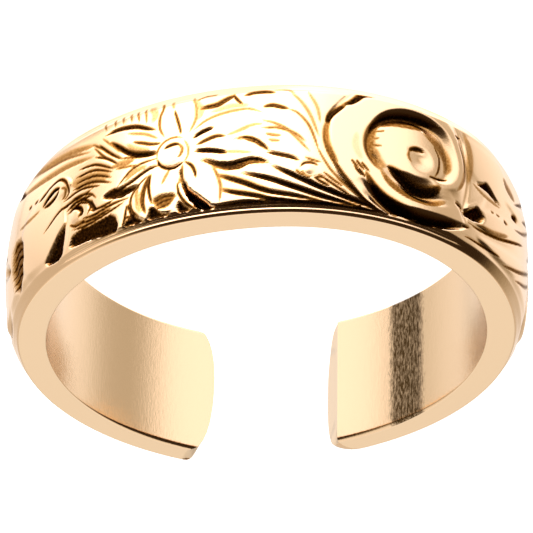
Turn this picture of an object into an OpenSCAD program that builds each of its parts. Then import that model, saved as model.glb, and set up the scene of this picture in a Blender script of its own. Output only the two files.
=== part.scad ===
// Toe ring: an open band of cast gold, bent into a C by three bends, flat inside and on both rims,
// with a raised ornament of a daisy, a volute, plumes and leaves round its outside.
// It lies on its far rim. Z runs along the ring's axis, the crown faces -Y and the gap faces +Y.

/* [Band] */
// Width of the band, along the ring's axis
band_w = 4.85; // [3.5:0.05:7]
// Thickness of the metal at the flat rims
rim_t = 0.95; // [0.7:0.05:1.6]
// How far the outside swells beyond the rims, at mid-width
swell_h = 0.2; // [0:0.02:0.6]
// Height of the cast ornament above its lowest ground
relief_h = 0.3; // [0.1:0.02:0.5]
// Height of the plain border along each rim
border_h = 0.1; // [0.02:0.01:0.2]

/* [Bends] */
// Inside radius of the bend that makes the long arm
long_r = 8.5; // [7.5:0.1:10]
// Inside radius of the shoulder, the tightest bend
shoulder_r = 6.4; // [5.5:0.1:7.4]
// Inside radius of the bend that makes the short arm
short_r = 8.9; // [7.5:0.1:10]
// Degrees turned by the long arm
long_turn = 151; // [130:1:155]
// Degrees turned by the shoulder
shoulder_turn = 68; // [50:1:80]
// Degrees turned by the short arm
short_turn = 89; // [70:1:95]

/* [Ends] */
// How far the rounded end of the long arm reaches past its corners
long_tongue = 0.88; // [0.2:0.02:1.2]
// How much further the long arm reaches at its lower corner than at its upper one
long_slant = 0.24; // [0:0.02:0.4]
// How much further the long arm's end reaches at its outside than inside
long_lean = 0.12; // [0:0.02:0.3]
// How far the outside of the short arm reaches past its straight inside edge
short_lean = 1; // [0.2:0.05:1.2]
// Length over which the short arm's corners are rounded off
short_corner = 0.6; // [0.3:0.05:1]

/* [Hidden] */

// Direction, seen along the axis, in which the long arm meets the shoulder
first_joint = -86.5;
second_joint = first_joint - shoulder_turn;
gold = "#d9a860";

function dir(a) = [cos(a), sin(a)];
function smooth(x) = let (t = min(max(x, 0), 1)) t * t * (3 - 2 * t);

// Centres of the three bends, which meet smoothly, with the toe hole centred on the origin
shoulder_raw = [0, 0];
long_raw = (shoulder_r - long_r) * dir(first_joint);
short_raw = (shoulder_r - short_r) * dir(second_joint);
hole_w = long_raw[0] + long_r - short_raw[0] + short_r;
to_centre = [-(long_raw[0] + long_r + short_raw[0] - short_r) / 2, shoulder_r - hole_w / 2];
long_c = long_raw + to_centre;
shoulder_c = shoulder_raw + to_centre;
short_c = short_raw + to_centre;

// Lengths along the rims' outer edge, from the joint of long arm and shoulder
long_len = (long_r + rim_t) * long_turn * PI / 180;
shoulder_len = (shoulder_r + rim_t) * shoulder_turn * PI / 180;
short_len = (short_r + rim_t) * short_turn * PI / 180;

// Point on the band: s along it, h outwards from the inside wall, z along the axis
function bent(c, r, a, h, z) = [c[0] + (r + h) * cos(a), c[1] + (r + h) * sin(a), z];
function on_band(s, h, z) =
    s < 0 ? bent(long_c, long_r, first_joint - s / (long_r + rim_t) * 180 / PI, h, z)
    : s < shoulder_len
        ? bent(shoulder_c, shoulder_r, first_joint - s / (shoulder_r + rim_t) * 180 / PI, h, z)
    : bent(short_c, short_r,
           second_joint - (s - shoulder_len) / (short_r + rim_t) * 180 / PI, h, z);

/*
The ornament is charted in band widths: u runs along the band from the first joint, and v runs
across it from the upper rim at 0 to the lower rim at 1. Heights are shares of relief_h.
*/
ground = 0.1;
edge = 0.06;     // width of the slope round a leaf
fall = 0.35;     // how far a leaf drops from its spine to its edge, as a share of its height
crease_w = 0.4;  // half-width of a leaf's crease, as a share of the leaf's half-width

// Leaves, petals and hollows, painted over each other from the first to the last.
// Columns: root u, root v, tip u, tip v, bow to the left as a share of the length, half-width,
// bluntness of root and tip (0.5 is round, 1 is pointed), height at root and tip, crease depth
leaves = [
    // long leaves towards the lower rim, left
    [-1.38, 0.72, -2.30, 0.82, -0.05, 0.05, 0.8, 0.8, 0.60, 0.60, 0.00],
    [-1.34, 0.83, -2.35, 0.94, -0.04, 0.05, 0.8, 0.8, 0.60, 0.60, 0.00],
    // smooth lobes, left
    [-3.02, 0.45, -2.42, 0.40, 0.00, 0.38, 0.5, 0.5, 0.75, 0.75, 0.00],
    [-2.24, 0.33, -1.58, 0.33, 0.00, 0.36, 0.5, 0.5, 0.75, 0.80, 0.00],
    // curled leaf
    [-2.02, 0.58, -1.60, 0.60, 0.05, 0.10, 0.5, 0.5, 0.90, 0.90, 0.00],
    // sheaf of feathers, and the strip under it
    [-1.68, 0.50, -1.12, 0.49, 0.00, 0.17, 0.5, 0.6, 0.70, 0.80, 0.00],
    [-1.52, 0.235, -1.03, 0.25, 0.00, 0.06, 0.5, 0.8, 0.70, 0.80, 0.00],
    // two leaves beside the daisy
    [-1.09, 0.585, -1.31, 0.86, 0.06, 0.055, 0.8, 0.7, 0.50, 0.75, 0.15],
    [-1.17, 0.57, -1.41, 0.80, 0.05, 0.045, 0.8, 0.8, 0.60, 0.80, 0.10],
    // hollows on the left
    [-2.95, 0.55, -2.52, 0.32, 0.00, 0.05, 0.6, 0.6, 0.00, 0.00, 0.00],
    [-1.96, 0.555, -1.72, 0.60, 0.10, 0.04, 0.8, 0.7, 0.00, 0.10, 0.00],
    [-1.65, 0.31, -1.86, 0.00, -0.02, 0.10, 1.0, 0.45, 0.00, 0.00, 0.00],
    [-1.67, 0.125, -1.12, 0.12, -0.06, 0.09, 0.5, 0.5, 0.00, 0.00, 0.00],
    [-1.31, 0.335, -0.93, 0.37, -0.12, 0.055, 0.6, 0.8, 0.00, 0.10, 0.00],
    // rim of the first hollow
    [-1.62, 0.31, -1.71, 0.02, 0.12, 0.03, 0.6, 0.6, 0.80, 0.60, 0.00],
    // plumes between daisy and volute
    [0.22, 0.60, -0.10, 1.02, -0.20, 0.06, 0.8, 0.6, 0.55, 0.50, 0.00],
    [0.28, 0.45, -0.34, 0.92, -0.22, 0.08, 0.9, 0.7, 0.60, 0.65, 0.00],
    [0.52, 0.13, -0.14, 0.70, -0.14, 0.14, 1.0, 0.5, 0.60, 0.80, 0.00],
    [0.80, 0.045, -0.44, 0.24, -0.02, 0.12, 1.2, 0.5, 0.50, 0.75, 0.00],
    // hollows round the daisy's right
    [-0.57, 0.83, -0.29, 0.92, -0.10, 0.035, 0.7, 0.8, 0.00, 0.10, 0.00],
    [-0.55, 0.43, -0.04, 0.355, -0.12, 0.04, 0.8, 0.9, 0.00, 0.10, 0.00],
    // petals of the daisy, the lower layer first
    [-0.85, 0.53, -1.17, 0.565, 0.00, 0.035, 0.7, 1.0, 0.50, 0.35, 0.00],
    [-0.705, 0.42, -0.50, 0.02, -0.12, 0.045, 0.7, 0.8, 0.50, 0.55, 0.00],
    [-0.755, 0.58, -0.80, 1.00, 0.05, 0.06, 0.7, 0.9, 0.70, 0.60, 0.10],
    [-0.70, 0.58, -0.63, 1.05, -0.05, 0.07, 0.7, 0.8, 0.75, 0.65, 0.00],
    [-0.62, 0.50, -0.05, 0.425, -0.06, 0.045, 0.7, 1.0, 0.60, 0.60, 0.00],
    [-0.84, 0.59, -1.28, 0.80, 0.02, 0.065, 0.7, 0.9, 0.75, 0.65, 0.25],
    [-0.84, 0.475, -1.18, 0.40, -0.06, 0.05, 0.7, 0.9, 0.75, 0.65, 0.10],
    [-0.87, 0.44, -0.925, 0.075, -0.24, 0.065, 0.7, 0.8, 0.70, 0.75, 0.30],
    [-0.66, 0.575, -0.11, 0.70, 0.14, 0.085, 0.8, 0.7, 0.75, 0.80, 0.00],
    [-0.62, 0.54, -0.04, 0.45, 0.09, 0.06, 0.7, 0.9, 0.80, 0.75, 0.00],
    [-0.76, 0.44, -0.83, 0.13, -0.04, 0.10, 0.6, 0.7, 0.80, 0.85, 0.15],
    [-0.68, 0.47, -0.41, 0.05, 0.08, 0.095, 0.7, 0.45, 0.80, 0.90, 0.15],
    [-0.69, 0.20, -0.88, 0.12, -0.05, 0.04, 0.6, 0.7, 0.15, 0.10, 0.00],
    // right of the volute
    [1.40, 0.74, 1.90, 0.80, 0.00, 0.22, 0.5, 0.6, 0.70, 0.60, 0.00],
    [1.85, 0.80, 2.50, 0.98, 0.05, 0.09, 0.6, 0.8, 0.60, 0.60, 0.15],
    [1.45, 0.43, 2.45, 0.72, -0.04, 0.10, 0.6, 0.8, 0.75, 0.70, 0.20],
    [1.50, 0.30, 2.45, 0.52, -0.05, 0.085, 0.6, 0.8, 0.65, 0.70, 0.15],
    [1.40, 0.19, 2.40, 0.33, -0.05, 0.075, 0.6, 0.8, 0.60, 0.65, 0.10],
    [1.10, 0.08, 2.30, 0.13, -0.02, 0.065, 0.6, 0.8, 0.45, 0.60, 0.00],
    [1.48, 0.555, 1.84, 0.53, 0.10, 0.045, 1.0, 1.0, 0.00, 0.00, 0.00],
    [1.31, 0.25, 1.60, 0.53, -0.08, 0.05, 0.7, 0.7, 0.90, 0.70, 0.00],
    [1.32, 0.25, 1.61, 0.32, 0.12, 0.055, 0.9, 0.7, 0.00, 0.00, 0.00]
];

// Raised coils, each wound round its centre.
// Columns: degrees round the centre, radius, half-width, height
volute_c = [0.96, 0.55];
volute_pad = 0.46;
coils = [
    [
        [150, 0.17, 0.09, 0.60], [180, 0.22, 0.13, 0.75], [215, 0.30, 0.12, 0.70],
        [240, 0.34, 0.08, 0.70], [270, 0.37, 0.05, 0.75], [315, 0.40, 0.05, 0.70],
        [350, 0.43, 0.04, 0.40], [400, 0.45, 0.03, 0.20]
    ],
    [
        [-110, 0.14, 0.05, 0.60], [-60, 0.19, 0.04, 0.60], [-30, 0.26, 0.04, 0.65],
        [0, 0.325, 0.05, 0.80], [45, 0.37, 0.055, 0.80], [90, 0.43, 0.085, 0.85],
        [135, 0.48, 0.12, 0.95], [180, 0.545, 0.135, 1.00], [205, 0.53, 0.10, 0.95],
        [225, 0.535, 0.06, 0.80], [249, 0.545, 0.03, 0.50]
    ]
];

// Round bosses. Columns: centre u, centre v, radius, height, dimple radius, dimple depth
bosses = [
    [0.97, 0.545, 0.17, 0.80, 0.05, 0.45],
    [-0.745, 0.525, 0.105, 0.95, 0.06, 0.40],
    [0.20, 0.305, 0.058, 1.00, 0.00, 0.00],
    [-1.55, 0.32, 0.095, 0.85, 0.05, 0.60],
    [2.02, 0.53, 0.05, 0.80, 0.00, 0.00],
    [-1.075, 0.10, 0.045, 0.50, 0.02, 0.20]
];

// Grooves cut last. Columns: start u, v, end u, v, bow, half-width, depth
grooves = [
    // sheaf of tapering flutes
    [-0.42, 0.31, 0.24, 0.075, -0.06, 0.022, 0.55],
    [-0.26, 0.28, 0.62, 0.06, -0.09, 0.022, 0.60],
    [-0.06, 0.325, 0.70, 0.065, -0.10, 0.024, 0.60],
    [-0.38, 0.16, 0.15, 0.07, -0.04, 0.018, 0.50],
    [-0.46, 0.06, 0.62, 0.05, 0.01, 0.026, 0.60],
    // round the daisy
    [-0.61, 0.595, -0.455, 0.665, 0.16, 0.016, 0.45],
    [-0.57, 0.545, -0.38, 0.60, 0.10, 0.018, 0.40],
    [-0.58, 0.50, -0.34, 0.455, 0.03, 0.017, 0.50],
    [-0.69, 0.39, -0.42, 0.03, -0.13, 0.036, 0.80],
    [-0.85, 0.545, -1.24, 0.765, -0.13, 0.030, 0.55],
    [-0.88, 0.75, -1.31, 0.85, -0.10, 0.024, 0.50],
    [-0.33, 0.555, -0.04, 0.43, 0.18, 0.024, 0.45],
    [-0.09, 0.42, 0.15, 0.365, 0.08, 0.018, 0.40],
    // feathers
    [-1.93, 0.33, -1.36, 0.455, 0.10, 0.020, 0.40],
    [-1.67, 0.385, -1.40, 0.395, 0.16, 0.020, 0.45],
    [-1.70, 0.48, -1.31, 0.445, 0.12, 0.018, 0.40],
    [-1.58, 0.55, -1.22, 0.46, 0.10, 0.020, 0.40],
    [-1.57, 0.61, -1.20, 0.51, 0.09, 0.020, 0.40],
    [-1.55, 0.665, -1.19, 0.54, 0.06, 0.020, 0.40],
    // curled leaf's outline
    [-1.99, 0.625, -1.63, 0.55, 0.22, 0.018, 0.35],
    // leaf edge below the plume
    [-0.12, 0.80, 0.21, 0.60, 0.22, 0.022, 0.30],
    [-0.22, 0.90, 0.01, 0.89, 0.12, 0.020, 0.35]
];

// Leaf pairs that run on to the ends of both arms, seen from where the main ornament stops
run_start = 2.45;
run_pitch = 0.5;
run_len = 0.6;
run_half = 0.13;
function arm_leaves(side, reach) = [
    for (k = [0 : floor((reach - run_start - run_len) / run_pitch)])
        let (u = run_start + k * run_pitch, low = k % 2 == 0)
            [side * u, 0.5, side * (u + run_len), low ? 0.13 : 0.87,
             side * (low ? -0.14 : 0.14), run_half, 0.7, 0.8, 0.55, 0.75, 0]
];
long_reach = long_len / band_w;
short_reach = (shoulder_len + short_len) / band_w;
all_leaves = concat(arm_leaves(-1, long_reach), arm_leaves(1, short_reach), leaves);

// Height at p of a leaf over what lies under it, h
function blade_w(e, x) =
    let (top = e[6] / (e[6] + e[7]))
        e[5] * pow(x / top, e[6]) * pow((1 - x) / (1 - top), e[7]);
function over_leaf(e, p, h) =
    let (d = [e[2] - e[0], e[3] - e[1]], len = norm(d), r = [p[0] - e[0], p[1] - e[1]],
         x = (r * d) / (len * len))
        x <= 0 || x >= 1 ? h
        : let (y = abs((d[0] * r[1] - d[1] * r[0]) / len - 4 * e[4] * len * x * (1 - x)),
               w = blade_w(e, x))
            y >= w ? h
            : let (q = y / w, top = e[8] + (e[9] - e[8]) * x,
                   own = top * (1 - fall * q * q) - e[10] * max(0, 1 - q / crease_w))
                h + (own - h) * smooth((w - y) / edge);

function in_groove(e, p, h) =
    let (d = [e[2] - e[0], e[3] - e[1]], len = norm(d), r = [p[0] - e[0], p[1] - e[1]],
         x = (r * d) / (len * len))
        x <= 0 || x >= 1 ? h
        : let (y = abs((d[0] * r[1] - d[1] * r[0]) / len - 4 * e[4] * len * x * (1 - x)),
               w = e[5] * pow(4 * x * (1 - x), 0.4), q = y / w)
            q >= 1 ? h : max(0, h - e[6] * (1 - q * q));

function over_boss(e, p, h) =
    let (d = norm([p[0] - e[0], p[1] - e[1]]))
        d >= e[2] ? h
        : let (own = e[3] * sqrt(1 - pow(d / e[2], 2) * 0.7)
                   - (e[4] > 0 ? e[5] * max(0, 1 - pow(d / e[4], 2)) : 0))
            h + (own - h) * smooth((e[2] - d) / edge);

// One column of a coil's table at an angle, rounded between its rows
function at_angle(rows, a, col, k = 0) =
    a <= rows[k + 1][0] || k == len(rows) - 2
        ? rows[k][col] + (rows[k + 1][col] - rows[k][col])
            * smooth_part((a - rows[k][0]) / (rows[k + 1][0] - rows[k][0]))
        : at_angle(rows, a, col, k + 1);
function smooth_part(t) = 0.6 * t + 0.4 * smooth(t);
function over_turn(rows, a, rad, h) =
    a < rows[0][0] || a > rows[len(rows) - 1][0] ? h
    : let (c = at_angle(rows, a, 1), w = at_angle(rows, a, 2), q = abs(rad - c) / w)
        q >= 1 ? h
        : let (own = at_angle(rows, a, 3) * sqrt(1 - 0.75 * q * q))
            max(h, h + (own - h) * smooth((1 - q) * w / edge));
function over_coil(rows, a, rad, h) =
    over_turn(rows, a - 360, rad, over_turn(rows, a + 360, rad, over_turn(rows, a, rad, h)));
function over_volute(p, h) =
    let (d = [p[0] - volute_c[0], p[1] - volute_c[1]], rad = norm(d))
        rad > 0.72 ? h
        : let (a = atan2(d[1], d[0]),
               pad = h + (0.05 - h) * smooth((volute_pad - rad) / edge))
            over_coil(coils[1], a, rad, over_coil(coils[0], a, rad, pad));

function all_over_leaf(list, p, h, k = 0) =
    k == len(list) ? h : all_over_leaf(list, p, over_leaf(list[k], p, h), k + 1);
function all_over_boss(list, p, h, k = 0) =
    k == len(list) ? h : all_over_boss(list, p, over_boss(list[k], p, h), k + 1);
function all_grooves(list, p, h, k = 0) =
    k == len(list) ? h : all_grooves(list, p, in_groove(list[k], p, h), k + 1);

// Rows of a table whose shape reaches the column of the net at u
function near_u(list, u) = [
    for (e = list)
        let (slack = e[5] + abs(e[4]) * norm([e[2] - e[0], e[3] - e[1]]))
            if (u > min(e[0], e[2]) - slack && u < max(e[0], e[2]) + slack) e
];
function ornament(u, v, own_leaves, own_grooves) =
    let (p = [u, v])
        all_grooves(own_grooves, p,
            all_over_boss(bosses, p, over_volute(p, all_over_leaf(own_leaves, p, ground))));

// Height of the outside above the rims' outer edge
border_in = 0.012;
border_out = 0.04;
field_from = 0.06;
swell_bluntness = 0.7;
function swell(v) = swell_h * pow(1 - pow(2 * v - 1, 2), swell_bluntness);
function outside(v, value) =
    let (rim = min(v, 1 - v))
        rim <= 0 ? 0
        : rim < field_from ? border_h
        : swell(v) + relief_h * value;

// Net that carries the ornament: fine round the crown, coarser along the hidden arms
front_reach = 2.45;
front_cols = 142;
arm_cols = 30;
cols = front_cols + 2 * arm_cols;
field_rows = 22;
rows_v = concat([0, border_in, border_out],
                [for (j = [0 : field_rows]) field_from + (1 - 2 * field_from) * j / field_rows],
                [1 - border_out, 1 - border_in, 1]);
rows = len(rows_v) - 1;
arm_grade = 1.4;  // above 1, the columns close up towards the ends
function col_u(i) =
    i < arm_cols
        ? (long_reach - front_reach) * pow(i / arm_cols, arm_grade) - long_reach
    : i <= arm_cols + front_cols ? -front_reach + 2 * front_reach * (i - arm_cols) / front_cols
    : short_reach - (short_reach - front_reach) * pow((cols - i) / arm_cols, arm_grade);

// The ends are rounded across the band, and the last columns follow them
end_len = 2;
roundness = 2.25;
blunt = 0.15;  // height left at the short arm's corners, as a share of the full height
function round_v(v) = pow(max(0, 1 - pow(abs(2 * v - 1), roundness)), 1 / roundness);
function from_long(i) = (col_u(i) + long_reach) * band_w;
function from_short(i) = (short_reach - col_u(i)) * band_w;
function near_end(dist) = smooth(1 - dist / end_len);
function reach_out(i, v, outer_side) =
    short_lean * round_v(v) * near_end(from_short(i))
        - (long_tongue * round_v(v) + long_slant * v + long_lean * outer_side)
            * near_end(from_long(i));
function corner(i) =
    let (x = 1 - min(from_short(i) / short_corner, 1)) blunt + (1 - blunt) * sqrt(1 - x * x);
function end_fade(i) = smooth(min(from_long(i), from_short(i)) / end_len);

// Metal left inside the wall, which the three exact cuts below take away
stock = 0.6;
net = [
    for (i = [0 : cols])
        let (u = col_u(i), own_leaves = near_u(all_leaves, u), own_grooves = near_u(grooves, u))
            [for (v = rows_v)
                ground + (ornament(u, v, own_leaves, own_grooves) - ground) * end_fade(i)]
];
function outer_h(i, j) =
    let (e = round_v(rows_v[j]), c = corner(i))
        (rim_t + outside(rows_v[j], net[i][j])) * (e + (1 - e) * c);
function outer_column(i) = [
    for (j = [0 : rows])
        on_band(col_u(i) * band_w + reach_out(i, rows_v[j], 1), outer_h(i, j),
                band_w * (1 - rows_v[j]))
];
function inner_point(i, v) =
    on_band(col_u(i) * band_w + reach_out(i, v, 0), -stock, band_w * (1 - v));

// The short arm's end face leans out from its straight inside edge
function short_end_point(j) =
    let (v = rows_v[j], back = stock * short_lean * round_v(v) / outer_h(cols, j))
        on_band(short_reach * band_w - back, -stock, band_w * (1 - v));
end_cols = 6;
hub_col = 4;
blank_points = concat(
    [for (i = [0 : cols]) each outer_column(i)],
    [for (i = [0 : cols]) each [inner_point(i, 0), inner_point(i, 1)]],
    [for (j = [1 : rows - 1]) inner_point(0, rows_v[j])],
    [for (j = [1 : rows - 1]) short_end_point(j)],
    [for (i = [hub_col, cols - hub_col])
        on_band(col_u(i) * band_w, -stock, band_w / 2)]
);

// Indices into blank_points
function outer(i, j) = i * (rows + 1) + j;
function inner(i, lower) = (cols + 1) * (rows + 1) + 2 * i + lower;
function end_inner(last, j) =
    j == 0 ? inner(last * cols, 0)
    : j == rows ? inner(last * cols, 1)
    : (cols + 1) * (rows + 3) + last * (rows - 1) + j - 1;
function hub(last) = (cols + 1) * (rows + 3) + 2 * (rows - 1) + last;
function quad(a, b, c, d) = [[a, c, b], [a, d, c]];

// Each cell of the net is folded along the diagonal whose ends are nearer in height
function net_cell(i, j) =
    let (a = outer(i, j), b = outer(i + 1, j), c = outer(i + 1, j + 1), d = outer(i, j + 1))
        abs(net[i][j] - net[i + 1][j + 1]) < abs(net[i + 1][j] - net[i][j + 1])
            ? quad(a, b, c, d) : [[a, d, b], [b, d, c]];

// Outline of the blank's inner side at each end, closed by triangles round a hub
long_ring = concat(
    [for (i = [end_cols : -1 : 0]) inner(i, 0)], [for (j = [1 : rows - 1]) end_inner(0, j)],
    [for (i = [0 : end_cols]) inner(i, 1)]
);
short_ring = concat(
    [for (i = [end_cols : -1 : 0]) inner(cols - i, 1)],
    [for (j = [rows - 1 : -1 : 1]) end_inner(1, j)],
    [for (i = [0 : end_cols]) inner(cols - i, 0)]
);
function around(ring, centre) = [
    for (k = [0 : len(ring) - 1]) [centre, ring[(k + 1) % len(ring)], ring[k]]
];
blank_faces = concat(
    [for (i = [0 : cols - 1], j = [0 : rows - 1]) each net_cell(i, j)],
    [for (i = [0 : cols - 1])
        each quad(outer(i, 0), inner(i, 0), inner(i + 1, 0), outer(i + 1, 0))],
    [for (i = [0 : cols - 1])
        each quad(outer(i, rows), outer(i + 1, rows), inner(i + 1, 1), inner(i, 1))],
    [for (i = [end_cols : cols - end_cols - 1])
        each quad(inner(i, 0), inner(i, 1), inner(i + 1, 1), inner(i + 1, 0))],
    [for (j = [0 : rows - 1])
        each quad(outer(0, j), outer(0, j + 1), end_inner(0, j + 1), end_inner(0, j))],
    [for (j = [0 : rows - 1])
        each quad(outer(cols, j), end_inner(1, j), end_inner(1, j + 1), outer(cols, j + 1))],
    around(long_ring, hub(0)),
    around(short_ring, hub(1))
);

// Exact inside wall of one bend
past = 1;
module inside_wall(c, r, from, turn) {
    translate([c[0], c[1], -past]) rotate([0, 0, from])
        rotate_extrude(angle = turn, $fn = 180)
            translate([r - 2 * stock, 0]) square([2 * stock, band_w + 2 * past]);
}

lap = 6;         // degrees by which the shoulder's cut runs on inside its neighbours' cuts
end_lap = 12;    // degrees by which the arms' cuts run on past the rounded ends
seat = 0.002;    // the shoulder's cut sits this much further out, so it crosses its neighbours' walls
seated_c = shoulder_c + seat * dir((first_joint + second_joint) / 2);
module band() {
    color(gold) difference() {
        polyhedron(points = blank_points, faces = blank_faces, convexity = 8);
        inside_wall(long_c, long_r, first_joint, long_turn + end_lap);
        inside_wall(seated_c, shoulder_r, second_joint - lap, shoulder_turn + 2 * lap);
        inside_wall(short_c, short_r, second_joint - short_turn - end_lap, short_turn + end_lap);
    }
}

band();
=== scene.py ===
# Cast gold toe ring, lying on its far rim, seen from its crown.
import math

import bmesh
import bpy
import numpy as np
from mathutils import Matrix, Vector


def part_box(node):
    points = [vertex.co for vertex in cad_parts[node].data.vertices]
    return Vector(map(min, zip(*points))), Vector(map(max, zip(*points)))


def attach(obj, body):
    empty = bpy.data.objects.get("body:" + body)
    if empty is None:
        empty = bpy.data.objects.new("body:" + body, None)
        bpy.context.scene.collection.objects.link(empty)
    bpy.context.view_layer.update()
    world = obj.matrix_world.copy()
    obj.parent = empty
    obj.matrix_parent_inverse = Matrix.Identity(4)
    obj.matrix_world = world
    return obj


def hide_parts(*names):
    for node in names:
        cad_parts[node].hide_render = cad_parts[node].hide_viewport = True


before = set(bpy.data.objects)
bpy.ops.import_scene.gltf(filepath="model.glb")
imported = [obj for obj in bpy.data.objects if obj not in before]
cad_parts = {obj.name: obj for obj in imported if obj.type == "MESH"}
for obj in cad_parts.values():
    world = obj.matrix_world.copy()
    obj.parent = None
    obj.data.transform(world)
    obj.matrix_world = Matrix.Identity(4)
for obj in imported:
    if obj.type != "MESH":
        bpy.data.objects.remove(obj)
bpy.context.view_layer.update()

MM = 0.001
low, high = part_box("band")

# Sizes of the real ring, in mm
band_w = (high[2] - low[2]) / MM
rim_t = 0.95         # metal at the flat rims
swell_h = 0.14       # how far the outside swells at mid-width
side_h = 0.25        # how much more it swells on the ring's sides
relief_h = 0.30      # height of the cast ornament
long_r, shoulder_r, short_r = 8.5, 6.4, 8.9          # inside radii of the three bends
long_turn, shoulder_turn, short_turn = 151, 68, 89   # degrees turned by each
first_joint = -86.5  # direction in which the long arm meets the shoulder
long_tongue = 0.88   # how far the long arm's rounded end reaches past its corners
long_slant = 0.24    # how much further it reaches at its lower corner than at its upper one
long_lean = 0.12     # how much further it reaches outside than inside
short_lean = 1.0     # how far the short arm's outside reaches past its straight inside edge
short_corner = 0.6   # length over which the short arm's corners are rounded off
end_len = 2.0        # length over which the arms take the shape of their ends
edge_round = 0.025   # rounding of the inside wall's edges
gap_round = 0.13     # the same near the gap, where they were filed wider


def heading(degrees):
    return np.array([math.cos(math.radians(degrees)), math.sin(math.radians(degrees))])


# Centres of the three bends, which meet smoothly, with the toe hole centred on the origin
second_joint = first_joint - shoulder_turn
long_raw = (shoulder_r - long_r) * heading(first_joint)
short_raw = (shoulder_r - short_r) * heading(second_joint)
hole_w = long_raw[0] + long_r - short_raw[0] + short_r
to_centre = np.array([-(long_raw[0] + long_r + short_raw[0] - short_r) / 2, shoulder_r - hole_w / 2])
long_c, shoulder_c, short_c = long_raw + to_centre, to_centre, short_raw + to_centre

# Lengths along the rims' outer edge, and how far the band runs either way, in band widths
long_len = (long_r + rim_t) * math.radians(long_turn)
shoulder_len = (shoulder_r + rim_t) * math.radians(shoulder_turn)
short_len = (short_r + rim_t) * math.radians(short_turn)
long_reach = long_len / band_w
short_reach = (shoulder_len + short_len) / band_w


def on_band(s, h):
    """The point h outwards from the inside wall at station s along the band, seen along the axis."""
    first = np.radians(first_joint - np.degrees(s / (long_r + rim_t)))
    second = np.radians(first_joint - np.degrees(s / (shoulder_r + rim_t)))
    third = np.radians(second_joint - np.degrees((s - shoulder_len) / (short_r + rim_t)))
    bend = np.where(s < 0, 0, np.where(s < shoulder_len, 1, 2))
    angle = np.choose(bend, [first, second, third])
    radius = np.choose(bend, [long_r, shoulder_r, short_r]) + h
    centre = np.stack([long_c, shoulder_c, short_c])[bend]
    return centre[..., 0] + radius * np.cos(angle), centre[..., 1] + radius * np.sin(angle)


def smooth(x):
    x = np.clip(x, 0, 1)
    return x * x * (3 - 2 * x)


def spread(stops):
    """Even steps between each pair of stops, each row of which is a place and the step after it."""
    out = []
    for (a, step), (b, _) in zip(stops, stops[1:]):
        n = max(1, round((b - a) / step))
        out += [a + (b - a) * k / n for k in range(n)]
    return np.array(out + [stops[-1][0]])


# The net that carries the ornament. Columns run along the band and rows across it, in band widths:
# closest where the photograph shows the ornament square on, wider along the arms.
u_net = spread([
    (-long_reach, 0.006), (-long_reach + 0.03, 0.034), (-2.7, 0.016), (-2.25, 0.012), (-1.78, 0.0086),
    (0.7, 0.009), (1.35, 0.0115), (1.8, 0.016), (2.2, 0.034), (short_reach - 0.15, 0.008), (short_reach, 0),
])
v_field = spread([(0.056, 0.0076), (0.2, 0.0086), (0.8, 0.0095), (0.944, 0)])
border_rows = [0.0, 0.006, 0.014, 0.022, 0.030, 0.036, 0.042, 0.049]
v_net = np.concatenate([border_rows, v_field, [1 - b for b in reversed(border_rows)]])
columns, rows = len(u_net), len(v_net)
drawing_shift = 0.012     # the drawing sits a little towards the lower rim
U, V = u_net[:, None], v_net[None, :] - drawing_shift

# The ornament. Heights are shares of relief_h. u runs along the band from the joint of long arm and
# shoulder, and v across it from the upper rim, at 0, to the lower one, at 1.
ground = 0.75      # the ground between the leaves
base = 0.35        # the height that lies level with the rims' edge
H = np.full((columns, rows), ground)
painted_shade = np.zeros((columns, rows))   # painted shade, brown to black, along cuts and in hollows


def window(points, slack):
    """The columns within slack of a row of points."""
    us = [point[0] for point in points]
    return slice(*np.searchsorted(u_net, [min(us) - slack, max(us) + slack]))


def leaf(root, tip, bow, half, root_blunt, tip_blunt, root_high, tip_high,
         crease=0.0, edge=0.036, fall=0.10):
    """A blade, or with low heights a hollow. bow bends it to the left of its run, and crease is the
    depth of the groove along its middle."""
    crease_w = 0.25     # the groove's half width, as a share of the blade's
    d = np.array(tip) - np.array(root)
    length = math.hypot(*d)
    at = window((root, tip), half + 0.05 + abs(bow) * length)
    x = ((U[at] - root[0]) * d[0] + (V - root[1]) * d[1]) / length ** 2
    y = (d[0] * (V - root[1]) - d[1] * (U[at] - root[0])) / length - 4 * bow * length * x * (1 - x)
    y = y / np.sqrt(1 + (4 * bow * (1 - 2 * x)) ** 2)
    inside = (x > 0) & (x < 1)
    x = np.clip(x, 1e-6, 1 - 1e-6)
    top = root_blunt / (root_blunt + tip_blunt)
    w = np.maximum(half * (x / top) ** root_blunt * ((1 - x) / (1 - top)) ** tip_blunt, 1e-6)
    q = np.clip(y / w, -1, 1)
    own = (root_high + (tip_high - root_high) * x) * (1 - fall * q ** 2)
    own = own - crease * np.maximum(0, 1 - np.abs(q) / crease_w)
    share = np.where(inside, np.clip((w - np.abs(y)) / edge, 0, 1), 0)
    H[at] += (own - H[at]) * share


def smooth_line(points):
    """Eight short steps between each pair of points, on a smooth curve through them all."""
    p = np.array(points, float)
    ends = np.vstack([2 * p[0] - p[1], p, 2 * p[-1] - p[-2]])
    line = []
    for k in range(1, len(ends) - 2):
        q0, q1, q2, q3 = ends[k - 1:k + 3]
        for s in np.linspace(0, 1, 9)[:-1]:
            line.append(0.5 * (2 * q1 + (q2 - q0) * s + (2 * q0 - 5 * q1 + 4 * q2 - q3) * s ** 2
                               + (3 * q1 - q0 - 3 * q2 + q3) * s ** 3))
    return np.array(line + [p[-1]])


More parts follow.
